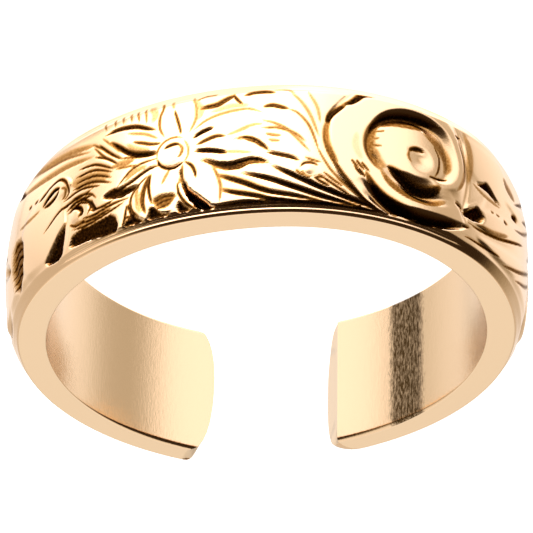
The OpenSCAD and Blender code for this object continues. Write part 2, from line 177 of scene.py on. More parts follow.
def cut(points, width, tone, shade_paint=None):
    """A graver's cut along a smooth line through some points. Its long flank, as wide as width,
    rises away from the upper rim, and the steeper that is, by tone, the darker it looks. The fourth
    argument is how much shade, brown to black, is painted into it, and without it the tone tells that."""
    narrowest, light = 0.015, 0.012     # the least width that the net can carry, and the short flank's
    steep = 13                          # a full tone's depth for its width: 0.8 mm in 1 mm
    width = max(width, narrowest)
    shade_paint = min(1, 0.2 + 0.8 * tone) if shade_paint is None else shade_paint
    line = smooth_line(points)
    along = np.concatenate([[0], np.hypot(*np.diff(line, axis=0).T).cumsum()])
    at = window(line, width + 0.01)
    uu, vv = np.broadcast_arrays(U[at], V)
    nearest, side, share, run = (np.full(uu.shape, start) for start in (9.0, 0.0, 0.0, 0.0))
    for k in range(len(line) - 1):
        du, dv = line[k + 1] - line[k]
        size = math.hypot(du, dv)
        s = np.clip(((uu - line[k, 0]) * du + (vv - line[k, 1]) * dv) / size ** 2, 0, 1)
        gap = np.hypot(uu - line[k, 0] - s * du, vv - line[k, 1] - s * dv)
        closer = gap < nearest
        left = du * (vv - line[k, 1]) - dv * (uu - line[k, 0])
        nearest = np.where(closer, gap, nearest)
        side = np.where(closer, np.sign(left), side)
        share = np.where(closer, (along[k] + s * size) / along[-1], share)
        run = np.where(closer, du / size, run)
    w = np.maximum(4 * share * (1 - share), 1e-6) ** 0.5      # thin at both ends
    y = nearest * side + run * width * w / 2
    flank = np.where(y > 0, (width + light + run * (width - light)) / 2,
                     (width + light - run * (width - light)) / 2)
    q = np.clip(1 - np.abs(y) / (flank * w), 0, 1)
    H[at] -= steep * width * tone * np.minimum(w * 1.3, 1) * q ** 1.4
    painted_shade[at] = np.maximum(painted_shade[at], shade_paint * smooth(1.5 * q) * np.minimum(w * 1.4, 1))


def pit(points, slope=4.2, top=0.70, edge=0.014, shade_paint=0.85):
    """A hollow with a straight-edged outline, painted dark as shade. Its floor falls towards the upper rim.
    """
    p = np.array(points, float)
    at = window(p, 0.02)
    uu, vv = np.broadcast_arrays(U[at], V)
    gap, inside = np.full(uu.shape, 9.0), np.zeros(uu.shape, bool)
    for (u0, v0), (u1, v1) in zip(p, np.roll(p, -1, 0)):
        du, dv = u1 - u0, v1 - v0
        s = np.clip(((uu - u0) * du + (vv - v0) * dv) / (du ** 2 + dv ** 2), 0, 1)
        gap = np.minimum(gap, np.hypot(uu - u0 - s * du, vv - v0 - s * dv))
        if dv:
            inside ^= ((vv > v0) != (vv > v1)) & (uu < u0 + (vv - v0) * du / dv)
    own = top - slope * (p[:, 1].max() - vv)
    # the outline is ragged, as the casting left it
    ragged = 0.22 * np.sin(190 * uu + 4 * np.sin(110 * vv)) + 0.22 * np.sin(260 * vv + 170 * uu)
    share = np.where(inside, np.clip(gap / edge + ragged * (gap < 2 * edge), 0, 1), 0)
    H[at] += (own - H[at]) * share
    painted_shade[at] = np.maximum(painted_shade[at], shade_paint * share)


def boss(centre, radius, high, edge=0.03, fall=0.5):
    """A round bead, or with fall 0 a flat one, which cuts a dish into what stands higher."""
    at = window((centre,), radius + 0.05)
    d = np.hypot(U[at] - centre[0], V - centre[1])
    own = high * np.sqrt(np.maximum(1 - fall * np.minimum(d / radius, 1) ** 2, 0))
    H[at] += (own - H[at]) * np.clip((radius - d) / edge, 0, 1)


def rounded(x, xs, ys):
    """Values between a table's rows, on a smooth curve through them."""
    xs, ys = np.asarray(xs, float), np.asarray(ys, float)
    slope = np.gradient(ys, xs)
    k = np.clip(np.searchsorted(xs, x) - 1, 0, len(xs) - 2)
    step = xs[k + 1] - xs[k]
    t = np.clip((x - xs[k]) / step, 0, 1)
    return ((2 * t ** 3 - 3 * t ** 2 + 1) * ys[k] + (t ** 3 - 2 * t ** 2 + t) * step * slope[k]
            + (3 * t ** 2 - 2 * t ** 3) * ys[k + 1] + (t ** 3 - t ** 2) * step * slope[k + 1])


def volute(lines, centre, middle):
    """Fills the outermost line. Each line winds round the centre, as rows of degrees, radius and
    height, and along every spoke the height runs evenly from one line to the next."""
    n_spokes, n_steps, reach = 720, 401, 0.8
    spokes, radii = np.arange(n_spokes) * 360 / n_spokes, np.linspace(0, reach, n_steps)
    table, limit = np.zeros((n_spokes, n_steps)), np.zeros(n_spokes)
    for k, spoke in enumerate(spokes):
        knots = [(0.0, middle)]
        for line in lines:
            row = np.array(line, float)
            for turned in np.arange(spoke, row[-1, 0] + 1e-6, 360):
                if turned >= row[0, 0]:
                    knots.append(tuple(float(rounded(turned, row[:, 0], row[:, c])) for c in (1, 2)))
        knots = np.array(sorted(knots))
        table[k] = np.interp(radii, knots[:, 0], knots[:, 1])
        limit[k] = knots[-1, 0]
    # softened along the spokes, then from spoke to spoke
    soft = np.array([1, 2, 3, 4, 3, 2, 1]) / 16
    table = np.apply_along_axis(lambda line: np.convolve(np.pad(line, 3, "edge"), soft, "valid"), 1, table)
    table = sum(w * np.roll(table, k, 0) for w, k in ((0.1, -4), (0.2, -2), (0.4, 0), (0.2, 2), (0.1, 4)))
    a, b = np.searchsorted(u_net, [centre[0] - reach, centre[0] + reach])
    du, dv = U[a:b] - centre[0], V - centre[1]
    x, y = np.degrees(np.arctan2(dv, du)) % 360 * n_spokes / 360, np.hypot(du, dv) / reach * (n_steps - 1)
    i, j = x.astype(int), np.minimum(y.astype(int), n_steps - 2)
    fx, fy = x - i, np.minimum(y - j, 1)
    i2 = (i + 1) % n_spokes
    i = i % n_spokes
    own = ((1 - fx) * ((1 - fy) * table[i, j] + fy * table[i, j + 1])
           + fx * ((1 - fy) * table[i2, j] + fy * table[i2, j + 1]))
    edge_r = (1 - fx) * limit[i] + fx * limit[i2]
    share = np.clip((edge_r - np.hypot(du, dv)) / 0.014, 0, 1)
    H[a:b] += (own - H[a:b]) * share


def hidden_arms():
    """Leaves to either side of a wavy stem, where the photograph hides the arms."""
    first, pitch, blade = 2.5, 0.5, 0.62     # the first leaf's place, the leaves' spacing and length
    for side, reach in ((-1, long_reach), (1, short_reach)):
        k = 0
        while first + pitch * k + blade < reach:
            u, low_side = first + pitch * k, k % 2 == 0
            tip = (side * (u + blade), 0.13 if low_side else 0.87)
            bow = side * (-0.14 if low_side else 0.14)
            leaf((side * u, 0.5), tip, bow, 0.17, 0.7, 0.7, 0.2, 0.2, edge=0.06)
            leaf((side * u, 0.5), tip, bow, 0.13, 0.7, 0.8, 0.8, 1.0, 0.4, edge=0.05)
            cut([(side * (u + 0.1), 0.5), (side * (u + 0.35), 0.55 if low_side else 0.45),
                 (side * (u + 0.6), 0.5)], 0.04, 0.8)
            k += 1


def left_leaves():
    # the big smooth lobe, with a pitted hollow on its left
    leaf((-3.0, 0.45), (-2.42, 0.4), 0, 0.38, 0.5, 0.5, 0.8, 0.8, edge=0.08)
    leaf((-2.26, 0.34), (-1.66, 0.32), 0, 0.36, 0.5, 0.5, 0.95, 0.9, edge=0.07, fall=0.1)
    leaf((-2.76, 0.46), (-2.5, 0.32), 0, 0.05, 0.6, 0.6, 0.2, 0.2)
    # the curled leaf like an eye
    leaf((-2.05, 0.57), (-1.6, 0.59), 0.05, 0.11, 0.5, 0.5, 0.95, 0.95)


def hollows():
    # from the left: the pitted one, then the ones near the upper rim, painted black as shade
    pit([(-2.43, 0.44), (-2.35, 0.49), (-2.25, 0.47), (-2.19, 0.4), (-2.19, 0.28), (-2.24, 0.16),
         (-2.34, 0.07), (-2.42, 0.12), (-2.47, 0.28)], 0.6, 0.45, 0.04, 0.5)
    pit([(-1.655, 0.305), (-1.75, 0.24), (-1.85, 0.15), (-1.915, 0.1), (-1.88, 0.065), (-1.82, 0.055),
         (-1.76, 0.055), (-1.72, 0.08), (-1.69, 0.18)], 3.4)
    pit([(-1.63, 0.09), (-1.6, 0.17), (-1.5, 0.195), (-1.43, 0.182), (-1.3, 0.19), (-1.22, 0.197),
         (-1.18, 0.165), (-1.165, 0.1), (-1.18, 0.045), (-1.3, 0.05), (-1.42, 0.07), (-1.52, 0.075)])
    pit([(-1.305, 0.335), (-1.25, 0.375), (-1.19, 0.385), (-1.11, 0.355), (-1.02, 0.345),
         (-0.98, 0.325), (-1.06, 0.3), (-1.13, 0.285), (-1.22, 0.3)])
    pit([(-1.1, 0.1), (-1.06, 0.13), (-1.02, 0.09), (-0.98, 0.055), (-1.12, 0.05)], 4.5)
    pit([(-0.905, 0.15), (-0.86, 0.13), (-0.82, 0.085), (-0.76, 0.07), (-0.76, 0.05), (-0.93, 0.05)], 4.5)
    pit([(-0.69, 0.15), (-0.645, 0.105), (-0.59, 0.05), (-0.7, 0.05), (-0.705, 0.09)], 4.5)
    pit([(-0.895, 0.195), (-0.83, 0.225), (-0.72, 0.21), (-0.7, 0.18), (-0.75, 0.12), (-0.8, 0.1),
         (-0.86, 0.12)], 1.0, 0.68, shade_paint=0.5)
    boss((-0.745, 0.09), 0.022, 0.8, edge=0.015)
    # between the petals
    pit([(-0.672, 0.41), (-0.655, 0.3), (-0.625, 0.225), (-0.575, 0.17), (-0.52, 0.12), (-0.47, 0.065),
         (-0.425, 0.05), (-0.5, 0.035), (-0.56, 0.07), (-0.62, 0.145), (-0.668, 0.24),
         (-0.688, 0.34)], 4.5)
    pit([(-0.54, 0.445), (-0.47, 0.418), (-0.41, 0.388), (-0.33, 0.374), (-0.25, 0.39), (-0.19, 0.402),
         (-0.13, 0.388), (-0.05, 0.34), (-0.12, 0.34), (-0.2, 0.342), (-0.27, 0.318), (-0.36, 0.308),
         (-0.43, 0.335), (-0.5, 0.39)], 1.2, 0.68, shade_paint=0.55)
    pit([(-0.325, 0.552), (-0.27, 0.572), (-0.2, 0.572), (-0.13, 0.53), (-0.05, 0.43), (-0.1, 0.445),
         (-0.17, 0.505), (-0.24, 0.532)], 1.2, 0.7, shade_paint=0.5)
    # beside the berry
    pit([(-1.045, 0.16), (-1.02, 0.12), (-0.975, 0.08), (-0.945, 0.055), (-1.035, 0.05),
         (-1.05, 0.09)], 4.5)


def curl():
    """The curl, with the leaf strip and the berry beside it."""
    leaf((-1.62, 0.3), (-1.715, 0.02), 0.1, 0.022, 0.5, 0.5, 0.85, 0.75, edge=0.02)
    boss((-1.077, 0.095), 0.04, 0.9)
    boss((-1.075, 0.1), 0.022, 0.7, fall=0.0, edge=0.015)
    boss((-1.55, 0.32), 0.085, 0.92, edge=0.03)
    pit([(-1.43, 0.39), (-1.385, 0.36), (-1.355, 0.29), (-1.39, 0.265), (-1.425, 0.32)], 3.5, 0.7)


def right_leaves():
    """Right of the volute: leaves, and the two hollows between them."""
    leaf((1.36, 0.74), (1.92, 0.8), 0, 0.23, 0.4, 0.6, 0.9, 0.85, edge=0.06, fall=0.1)
    leaf((1.42, 0.3), (2.25, 0.5), -0.06, 0.125, 0.5, 0.7, 0.95, 0.85, edge=0.05)
    leaf((1.5, 0.15), (2.45, 0.36), -0.08, 0.085, 0.6, 0.7, 0.92, 0.85, edge=0.045)
    leaf((1.88, 0.6), (2.65, 0.8), -0.06, 0.1, 0.6, 0.7, 0.92, 0.85, edge=0.05)
    leaf((1.29, 0.24), (1.62, 0.53), -0.08, 0.055, 0.6, 0.7, 1.0, 0.8)
    pit([(1.34, 0.262), (1.42, 0.33), (1.49, 0.378), (1.55, 0.355), (1.58, 0.315), (1.54, 0.265),
         (1.46, 0.25), (1.38, 0.247)])
    pit([(1.48, 0.55), (1.545, 0.585), (1.61, 0.625), (1.67, 0.59), (1.74, 0.555), (1.82, 0.52),
         (1.74, 0.53), (1.64, 0.555), (1.56, 0.555)], 5.0)


def scroll():
    """One ridge that winds out from under the pad in its middle. Columns: degrees, radius, height.
    Lines: the pad's edge, the hollow below it, the trough, the ridge's two edges and the ledge and
    foot of the black cut under its lower turn."""
    centre = (0.96, 0.55)
    pad = [(0, 0.16, 0.74), (60, 0.18, 0.76), (90, 0.215, 0.78), (120, 0.24, 0.78), (150, 0.29, 0.78),
           (180, 0.345, 0.78), (197, 0.335, 0.76), (215, 0.262, 0.78), (235, 0.19, 0.8),
           (260, 0.165, 0.8), (300, 0.16, 0.76), (330, 0.158, 0.72), (360, 0.16, 0.74)]
    hollow = [(207, 0.3, 0.76), (216, 0.275, 0.62), (238, 0.262, 0.32), (255, 0.283, 0.1),
              (274, 0.3, 0.06), (290, 0.31, 0.22), (300, 0.325, 0.52), (312, 0.355, 0.7),
              (322, 0.4, 0.74)]
    trough = [(318, 0.2, 0.66), (330, 0.22, 0.55), (345, 0.235, 0.46), (360, 0.245, 0.42),
              (386, 0.26, 0.4), (409, 0.285, 0.42), (427, 0.275, 0.26), (450, 0.27, 0.1),
              (476, 0.29, 0.1), (501, 0.335, 0.2), (522, 0.366, 0.4), (540, 0.383, 0.52),
              (557, 0.372, 0.55), (567, 0.345, 0.66)]
    inner = [(302, 0.185, 0.76), (320, 0.235, 0.8), (333, 0.285, 0.88), (348, 0.322, 0.93),
             (360, 0.335, 0.95), (386, 0.345, 0.95), (409, 0.362, 0.95), (427, 0.352, 0.95),
             (450, 0.348, 0.93), (476, 0.365, 0.92), (501, 0.388, 0.95), (518, 0.4, 0.97),
             (534, 0.412, 0.97), (547, 0.413, 0.97), (559, 0.4, 0.96), (574, 0.375, 0.93),
             (590, 0.345, 0.88), (615, 0.345, 0.84), (634, 0.352, 0.84), (650, 0.362, 0.84),
             (670, 0.41, 0.84), (682, 0.46, 0.8)]
    outer = [(302, 0.205, 0.76), (320, 0.262, 0.84), (333, 0.32, 0.93), (348, 0.362, 0.98),
             (360, 0.378, 1.0), (386, 0.395, 1.0), (409, 0.43, 0.98), (427, 0.45, 0.96),
             (450, 0.46, 0.95), (476, 0.52, 0.95), (494, 0.565, 0.95), (507, 0.585, 0.97),
             (517, 0.61, 1.0), (524, 0.635, 1.0), (540, 0.635, 1.0), (548, 0.63, 1.0), (560, 0.62, 1.0),
             (575, 0.6, 1.0), (585, 0.588, 0.98), (595, 0.575, 0.94), (604, 0.562, 0.85),
             (612, 0.554, 0.75)]
    ledge = [(573, 0.5, 0.96), (580, 0.487, 0.94), (588, 0.462, 0.92), (597, 0.452, 0.92),
             (612, 0.432, 0.92), (633, 0.407, 0.92), (655, 0.433, 0.88), (671, 0.503, 0.82),
             (680, 0.56, 0.72)]
    foot = [(573, 0.512, 0.95), (580, 0.515, 0.75), (587, 0.519, 0.45), (600, 0.525, 0.2),
            (611, 0.528, 0.05), (632, 0.497, -0.05), (646, 0.512, 0.0), (667, 0.55, 0.2),
            (678, 0.575, 0.45), (690, 0.49, 0.5), (706, 0.46, 0.45), (720, 0.455, 0.45),
            (746, 0.465, 0.5), (765, 0.5, 0.55), (790, 0.56, 0.55), (824, 0.6, 0.5), (836, 0.6, 0.5),
            (854, 0.625, 0.4), (867, 0.64, 0.35), (884, 0.675, 0.45), (900, 0.675, 0.62),
            (920, 0.655, 0.66), (945, 0.615, 0.7), (965, 0.575, 0.72)]
    volute([pad, hollow, trough, inner, outer, ledge, foot], centre, 0.78)
    boss((0.975, 0.525), 0.1, 0.52, fall=0.0, edge=0.085)


def daisy_and_bead():
    """The middle of the daisy, with its dish, and the bead beside the sheaf."""
    boss((-0.737, 0.522), 0.11, 0.86, fall=0.15, edge=0.06)
    boss((-0.733, 0.528), 0.066, 0.78, fall=0.0, edge=0.05)
    boss((0.19, 0.3), 0.052, 0.84, fall=0.2, edge=0.04)


# The graver's cuts: width, tone, how much brown to black shade is painted in them or None where the tone
# tells it, and the lines
DAISY_CUTS = [
    # round the daisy's middle and its dish
    (0.02, 0.6, 1, [(-0.85, 0.5), (-0.825, 0.45), (-0.775, 0.415), (-0.715, 0.408), (-0.655, 0.435)]),
    (0.012, 0.1, 0.35, [(-0.655, 0.43), (-0.625, 0.48), (-0.625, 0.55), (-0.655, 0.61)]),
    (0.012, 0.15, 0.5, [(-0.66, 0.625), (-0.73, 0.645), (-0.8, 0.625), (-0.845, 0.57), (-0.85, 0.5)]),
    (0.03, 0.3, 0.85, [(-0.8, 0.56), (-0.765, 0.585), (-0.715, 0.59), (-0.678, 0.57)]),
    (0.022, 0.1, 0.5, [(-0.69, 0.585), (-0.665, 0.545), (-0.675, 0.5), (-0.7, 0.475)]),
    # petals, from the top clockwise
    (0.02, 0.3, 0.55, [(-0.795, 0.655), (-0.835, 0.74), (-0.84, 0.83), (-0.815, 0.92), (-0.86, 0.97)]),
    (0.018, 0.5, 0.75, [(-0.676, 0.65), (-0.695, 0.74), (-0.735, 0.87)]),
    (0.024, 0.1, 0.3, [(-0.735, 0.87), (-0.75, 0.95)]),
    (0.024, 0.2, 0.4, [(-0.62, 0.65), (-0.575, 0.76), (-0.575, 0.86), (-0.6, 0.95)]),
    (0.024, 0.25, 0.4, [(-0.6, 0.66), (-0.5, 0.735), (-0.38, 0.775), (-0.22, 0.79), (-0.11, 0.745)]),
    (0.026, 0.8, 1, [(-0.595, 0.602), (-0.53, 0.645), (-0.445, 0.668)]),
    (0.032, 0.35, 0.75, [(-0.57, 0.545), (-0.5, 0.578), (-0.43, 0.598), (-0.36, 0.585)]),
    (0.024, 0.1, 0.3, [(-0.36, 0.59), (-0.28, 0.62), (-0.2, 0.64)]),
    (0.026, 1, 1, [(-0.58, 0.503), (-0.46, 0.487), (-0.345, 0.45)]),
    (0.024, 0.05, 0.25, [(-0.42, 0.47), (-0.3, 0.46), (-0.18, 0.44)]),
    (0.024, 0.2, 0.3, [(-0.33, 0.6), (-0.2, 0.655), (-0.11, 0.66)]),
    (0.024, 0.7, 0.9, [(-0.09, 0.435), (0, 0.415), (0.07, 0.395), (0.13, 0.365)]),
    (0.016, 0.15, 0.85, [(-0.54, 0.425), (-0.45, 0.385), (-0.35, 0.362), (-0.25, 0.382), (-0.16, 0.395),
     (-0.08, 0.36)]),
    (0.016, 0.1, 0.75, [(-0.4, 0.345), (-0.3, 0.335), (-0.2, 0.352)]),
    (0.022, 0.5, 0.85, [(-0.645, 0.435), (-0.6, 0.4), (-0.575, 0.35), (-0.565, 0.29)]),
    (0.024, 0.2, 0.45, [(-0.46, 0.38), (-0.42, 0.3), (-0.395, 0.2), (-0.405, 0.08)]),
    (0.018, 0.4, 0.85, [(-0.7, 0.29), (-0.685, 0.2), (-0.63, 0.115), (-0.55, 0.05)]),
    (0.024, 0.2, 0.4, [(-0.755, 0.4), (-0.79, 0.345), (-0.815, 0.29)]),
    (0.024, 0.2, 0.45, [(-0.66, 0.42), (-0.672, 0.33), (-0.695, 0.26)]),
    (0.022, 0.4, 0.85, [(-0.895, 0.4), (-0.912, 0.32), (-0.905, 0.24), (-0.885, 0.16)]),
    (0.044, 0.25, 0.7, [(-0.905, 0.4), (-0.95, 0.3), (-0.962, 0.2), (-0.935, 0.1)]),
    (0.016, 0.5, 0.75, [(-0.92, 0.395), (-1.01, 0.325), (-1.055, 0.25), (-1.045, 0.17), (-0.985, 0.09)]),
    (0.024, 0.1, 0.35, [(-0.99, 0.34), (-1.01, 0.26), (-0.99, 0.17)]),
    (0.022, 0.7, 0.9, [(-0.82, 0.452), (-0.9, 0.447), (-0.98, 0.42), (-1.04, 0.392), (-1.1, 0.375),
     (-1.2, 0.345)]),
    (0.016, 0.5, 0.7, [(-0.84, 0.505), (-0.93, 0.51), (-1, 0.5), (-1.07, 0.47), (-1.17, 0.38)]),
    (0.018, 0.2, 0.5, [(-1, 0.5), (-1.09, 0.52), (-1.19, 0.53)]),
    (0.016, 0.1, 0.35, [(-0.95, 0.475), (-1.04, 0.44), (-1.11, 0.4)]),
    (0.044, 0.7, 0.95, [(-0.84, 0.555), (-0.93, 0.572), (-1.01, 0.597), (-1.09, 0.64), (-1.16, 0.7),
     (-1.245, 0.77)]),
    (0.018, 0.3, 0.65, [(-0.84, 0.545), (-0.96, 0.558), (-1.07, 0.585), (-1.15, 0.6)]),
    (0.026, 0.35, 0.75, [(-0.82, 0.622), (-0.9, 0.64), (-0.97, 0.67), (-1.05, 0.7)]),
    (0.034, 0.7, 0.9, [(-0.86, 0.738), (-0.94, 0.778), (-1.04, 0.826), (-1.18, 0.85), (-1.3, 0.836)]),
    (0.024, 0.2, 0.4, [(-0.84, 0.66), (-0.95, 0.735), (-1.1, 0.785)]),
    (0.016, 0.4, 0.7, [(-0.8, 0.94), (-0.84, 0.99)]),
    # streaks in the textured bands under the petals
    (0.016, 0.08, 0.78, [(-0.5, 0.412), (-0.4, 0.365), (-0.3, 0.352), (-0.2, 0.375)],
     [(-0.44, 0.372), (-0.36, 0.345), (-0.27, 0.345), (-0.18, 0.365), (-0.11, 0.365)],
     [(-0.36, 0.325), (-0.28, 0.328), (-0.22, 0.345)],
     [(-0.28, 0.565), (-0.2, 0.56), (-0.13, 0.515), (-0.07, 0.44)]),
    (0.015, 0.3, 0.75, [(-0.24, 0.548), (-0.17, 0.525), (-0.1, 0.465)]),
    (0.016, 0.08, 0.78, [(-0.885, 0.175), (-0.8, 0.205), (-0.72, 0.195)],
     [(-0.875, 0.145), (-0.8, 0.175), (-0.72, 0.175)], [(-0.86, 0.12), (-0.8, 0.14), (-0.75, 0.145)]),
    # shallow hollows along the petals, painted tan as shade
    (0.05, 0.03, 0.25, [(-0.9, 0.595), (-1, 0.635), (-1.1, 0.7)]),
    (0.05, 0.03, 0.3, [(-0.92, 0.475), (-1.02, 0.47), (-1.12, 0.43)]),
    (0.06, 0.03, 0.4, [(-1.02, 0.555), (-1.12, 0.565), (-1.22, 0.56)]),
    (0.05, 0.03, 0.25, [(-0.98, 0.29), (-1, 0.21), (-0.97, 0.12)]),
    (0.06, 0.03, 0.22, [(-0.6, 0.93), (-0.54, 0.84), (-0.56, 0.74)]),
    (0.07, 0.03, 0.22, [(-0.9, 0.8), (-0.88, 0.88), (-0.92, 0.97)]),
    (0.05, 0.03, 0.22, [(-0.48, 0.79), (-0.34, 0.83), (-0.2, 0.82)]),
]
CURL_CUTS = [
    # the berry and the thin leaf that holds it
    (0.018, 0.3, 0.8, [(-1.13, 0.06), (-1.105, 0.13), (-1.085, 0.22)]),
    (0.018, 0.3, 0.85, [(-1.035, 0.07), (-1.05, 0.14), (-1.08, 0.22)]),
    (0.016, 0.3, 0.75, [(-1.115, 0.095), (-1.09, 0.125), (-1.06, 0.12), (-1.045, 0.09), (-1.07, 0.065)]),
    # the curl: its dark comma, then the rings round it
    (0.04, 0.5, 1, [(-1.63, 0.37), (-1.575, 0.385), (-1.515, 0.36), (-1.495, 0.315), (-1.53, 0.285)]),
    (0.02, 0.5, 0.9, [(-1.66, 0.385), (-1.56, 0.425), (-1.46, 0.4), (-1.415, 0.335), (-1.44, 0.265)]),
    (0.018, 0.5, 0.8, [(-1.7, 0.41), (-1.56, 0.455), (-1.42, 0.43), (-1.345, 0.36)]),
    (0.02, 0.4, 0.8, [(-1.62, 0.265), (-1.55, 0.235), (-1.46, 0.245)]),
]
LEFT_CUTS = [
    # strokes in the pitted hollow
    (0.02, 0.4, 0.85, [(-2.44, 0.13), (-2.36, 0.17), (-2.27, 0.16)]),
    (0.022, 0.4, 0.9, [(-2.45, 0.18), (-2.34, 0.23), (-2.24, 0.2)]),
    (0.022, 0.4, 0.85, [(-2.46, 0.23), (-2.34, 0.29), (-2.22, 0.25)]),
    (0.022, 0.4, 0.9, [(-2.46, 0.29), (-2.33, 0.35), (-2.21, 0.31)]),
    (0.022, 0.4, 0.8, [(-2.45, 0.35), (-2.33, 0.41), (-2.2, 0.36)]),
    (0.02, 0.4, 0.75, [(-2.43, 0.41), (-2.34, 0.46), (-2.23, 0.42)]),
    (0.08, 0.15, 0.75, [(-2.62, 0.99), (-2.45, 0.92), (-2.32, 0.85), (-2.22, 0.8)]),
    # hollow and leaves on the left
    (0.02, 0.6, None, [(-1.12, 0.59), (-1.22, 0.66), (-1.32, 0.75), (-1.42, 0.82)]),
    (0.014, 0.6, None, [(-1.17, 0.57), (-1.28, 0.66), (-1.4, 0.79)]),
    (0.01, 0.35, None, [(-1.14, 0.64), (-1.23, 0.74), (-1.32, 0.83)]),
]
SHEAF_CUTS = [
    # sheaf of flutes, with painted shade: orange to their left, black to their right
    (0.06, 0.02, 0.5, [(-0.43, 0.3), (-0.34, 0.265), (-0.24, 0.225), (-0.14, 0.175), (-0.04, 0.14)]),
    (0.03, 0.55, 0.95, [(-0.42, 0.29), (-0.256, 0.22), (-0.1, 0.148), (0.08, 0.108), (0.28, 0.075)]),
    (0.034, 0.75, 0.95, [(-0.26, 0.285), (-0.08, 0.235), (0.1, 0.168), (0.3, 0.105), (0.55, 0.065)]),
    (0.036, 0.8, 0.95, [(-0.06, 0.33), (0.06, 0.27), (0.25, 0.185), (0.45, 0.118), (0.68, 0.06)]),
    (0.05, 0.02, 0.5, [(-0.4, 0.19), (-0.32, 0.16), (-0.2, 0.13), (-0.08, 0.1)]),
    (0.026, 0.5, 0.95, [(-0.39, 0.165), (-0.2, 0.12), (-0.05, 0.085), (0.08, 0.065)]),
    (0.022, 1, 1, [(-0.47, 0.058), (-0.2, 0.068), (0.1, 0.064), (0.4, 0.058), (0.72, 0.052)]),
    # fine cuts round the bead
    (0.018, 0.5, 0.8, [(0.13, 0.315), (0.155, 0.348), (0.2, 0.358), (0.25, 0.335)]),
    (0.012, 0.2, 0.45, [(0.14, 0.29), (0.17, 0.255), (0.21, 0.25)]),
    (0.012, 0.4, None, [(0.1, 0.3), (0.16, 0.25)]),
    (0.015, 0.7, 0.9, [(0.22, 0.245), (0.33, 0.185)]),
    (0.013, 0.4, 0.7, [(0.22, 0.235), (0.26, 0.255), (0.3, 0.235)]),
    (0.015, 0.6, 0.85, [(0.25, 0.27), (0.38, 0.185), (0.47, 0.13)]),
    (0.013, 0.4, 0.6, [(0.28, 0.29), (0.42, 0.19)]),
    (0.013, 0.3, 0.5, [(0.35, 0.28), (0.45, 0.19), (0.56, 0.11)]),
    (0.014, 0.3, 0.5, [(0.23, 0.5), (0.29, 0.38), (0.37, 0.27), (0.56, 0.12)]),
    (0.013, 0.4, 0.5, [(0.16, 0.395), (0.27, 0.36)]),
]
SPRAY_CUTS = [
    # spray of thin leaves between daisy and volute
    (0.024, 0.2, 0.4, [(-0.13, 0.69), (-0.03, 0.66), (0.07, 0.59), (0.2, 0.43)]),
    (0.024, 0.25, 0.5, [(-0.13, 0.628), (-0.006, 0.625), (0.1, 0.578), (0.17, 0.51)]),
    (0.024, 0.2, 0.45, [(-0.1, 0.582), (0.01, 0.56)]),
    (0.024, 0.2, 0.4, [(-0.08, 0.535), (0, 0.52)]),
    (0.036, 0.4, 0.75, [(-0.12, 0.795), (-0.06, 0.81), (0, 0.795), (0.06, 0.77)]),
    (0.018, 0.2, 0.5, [(0.04, 0.775), (0.11, 0.745), (0.18, 0.66), (0.22, 0.56), (0.25, 0.45)]),
    (0.024, 0.15, 0.35, [(0.06, 0.92), (0.14, 0.83), (0.2, 0.72), (0.255, 0.55)]),
    (0.024, 0.1, 0.3, [(0.18, 0.92), (0.24, 0.8), (0.262, 0.66)]),
    (0.036, 0.4, 0.75, [(-0.25, 0.895), (-0.18, 0.92), (-0.1, 0.925), (-0.03, 0.905)]),
    (0.05, 0.35, 0.7, [(-0.56, 0.83), (-0.5, 0.845), (-0.43, 0.855), (-0.37, 0.885), (-0.3, 0.915)]),
    (0.02, 0.6, 0.85, [(-0.32, 0.915), (-0.285, 0.865), (-0.25, 0.825)]),
    (0.016, 0.2, 0.45, [(-0.58, 0.9), (-0.5, 0.935), (-0.42, 0.93)]),
    (0.024, 0.15, 0.35, [(-0.11, 0.96), (0.03, 0.94), (0.1, 0.9)],
     [(-0.3, 0.965), (-0.18, 0.975), (-0.08, 0.96)]),
]
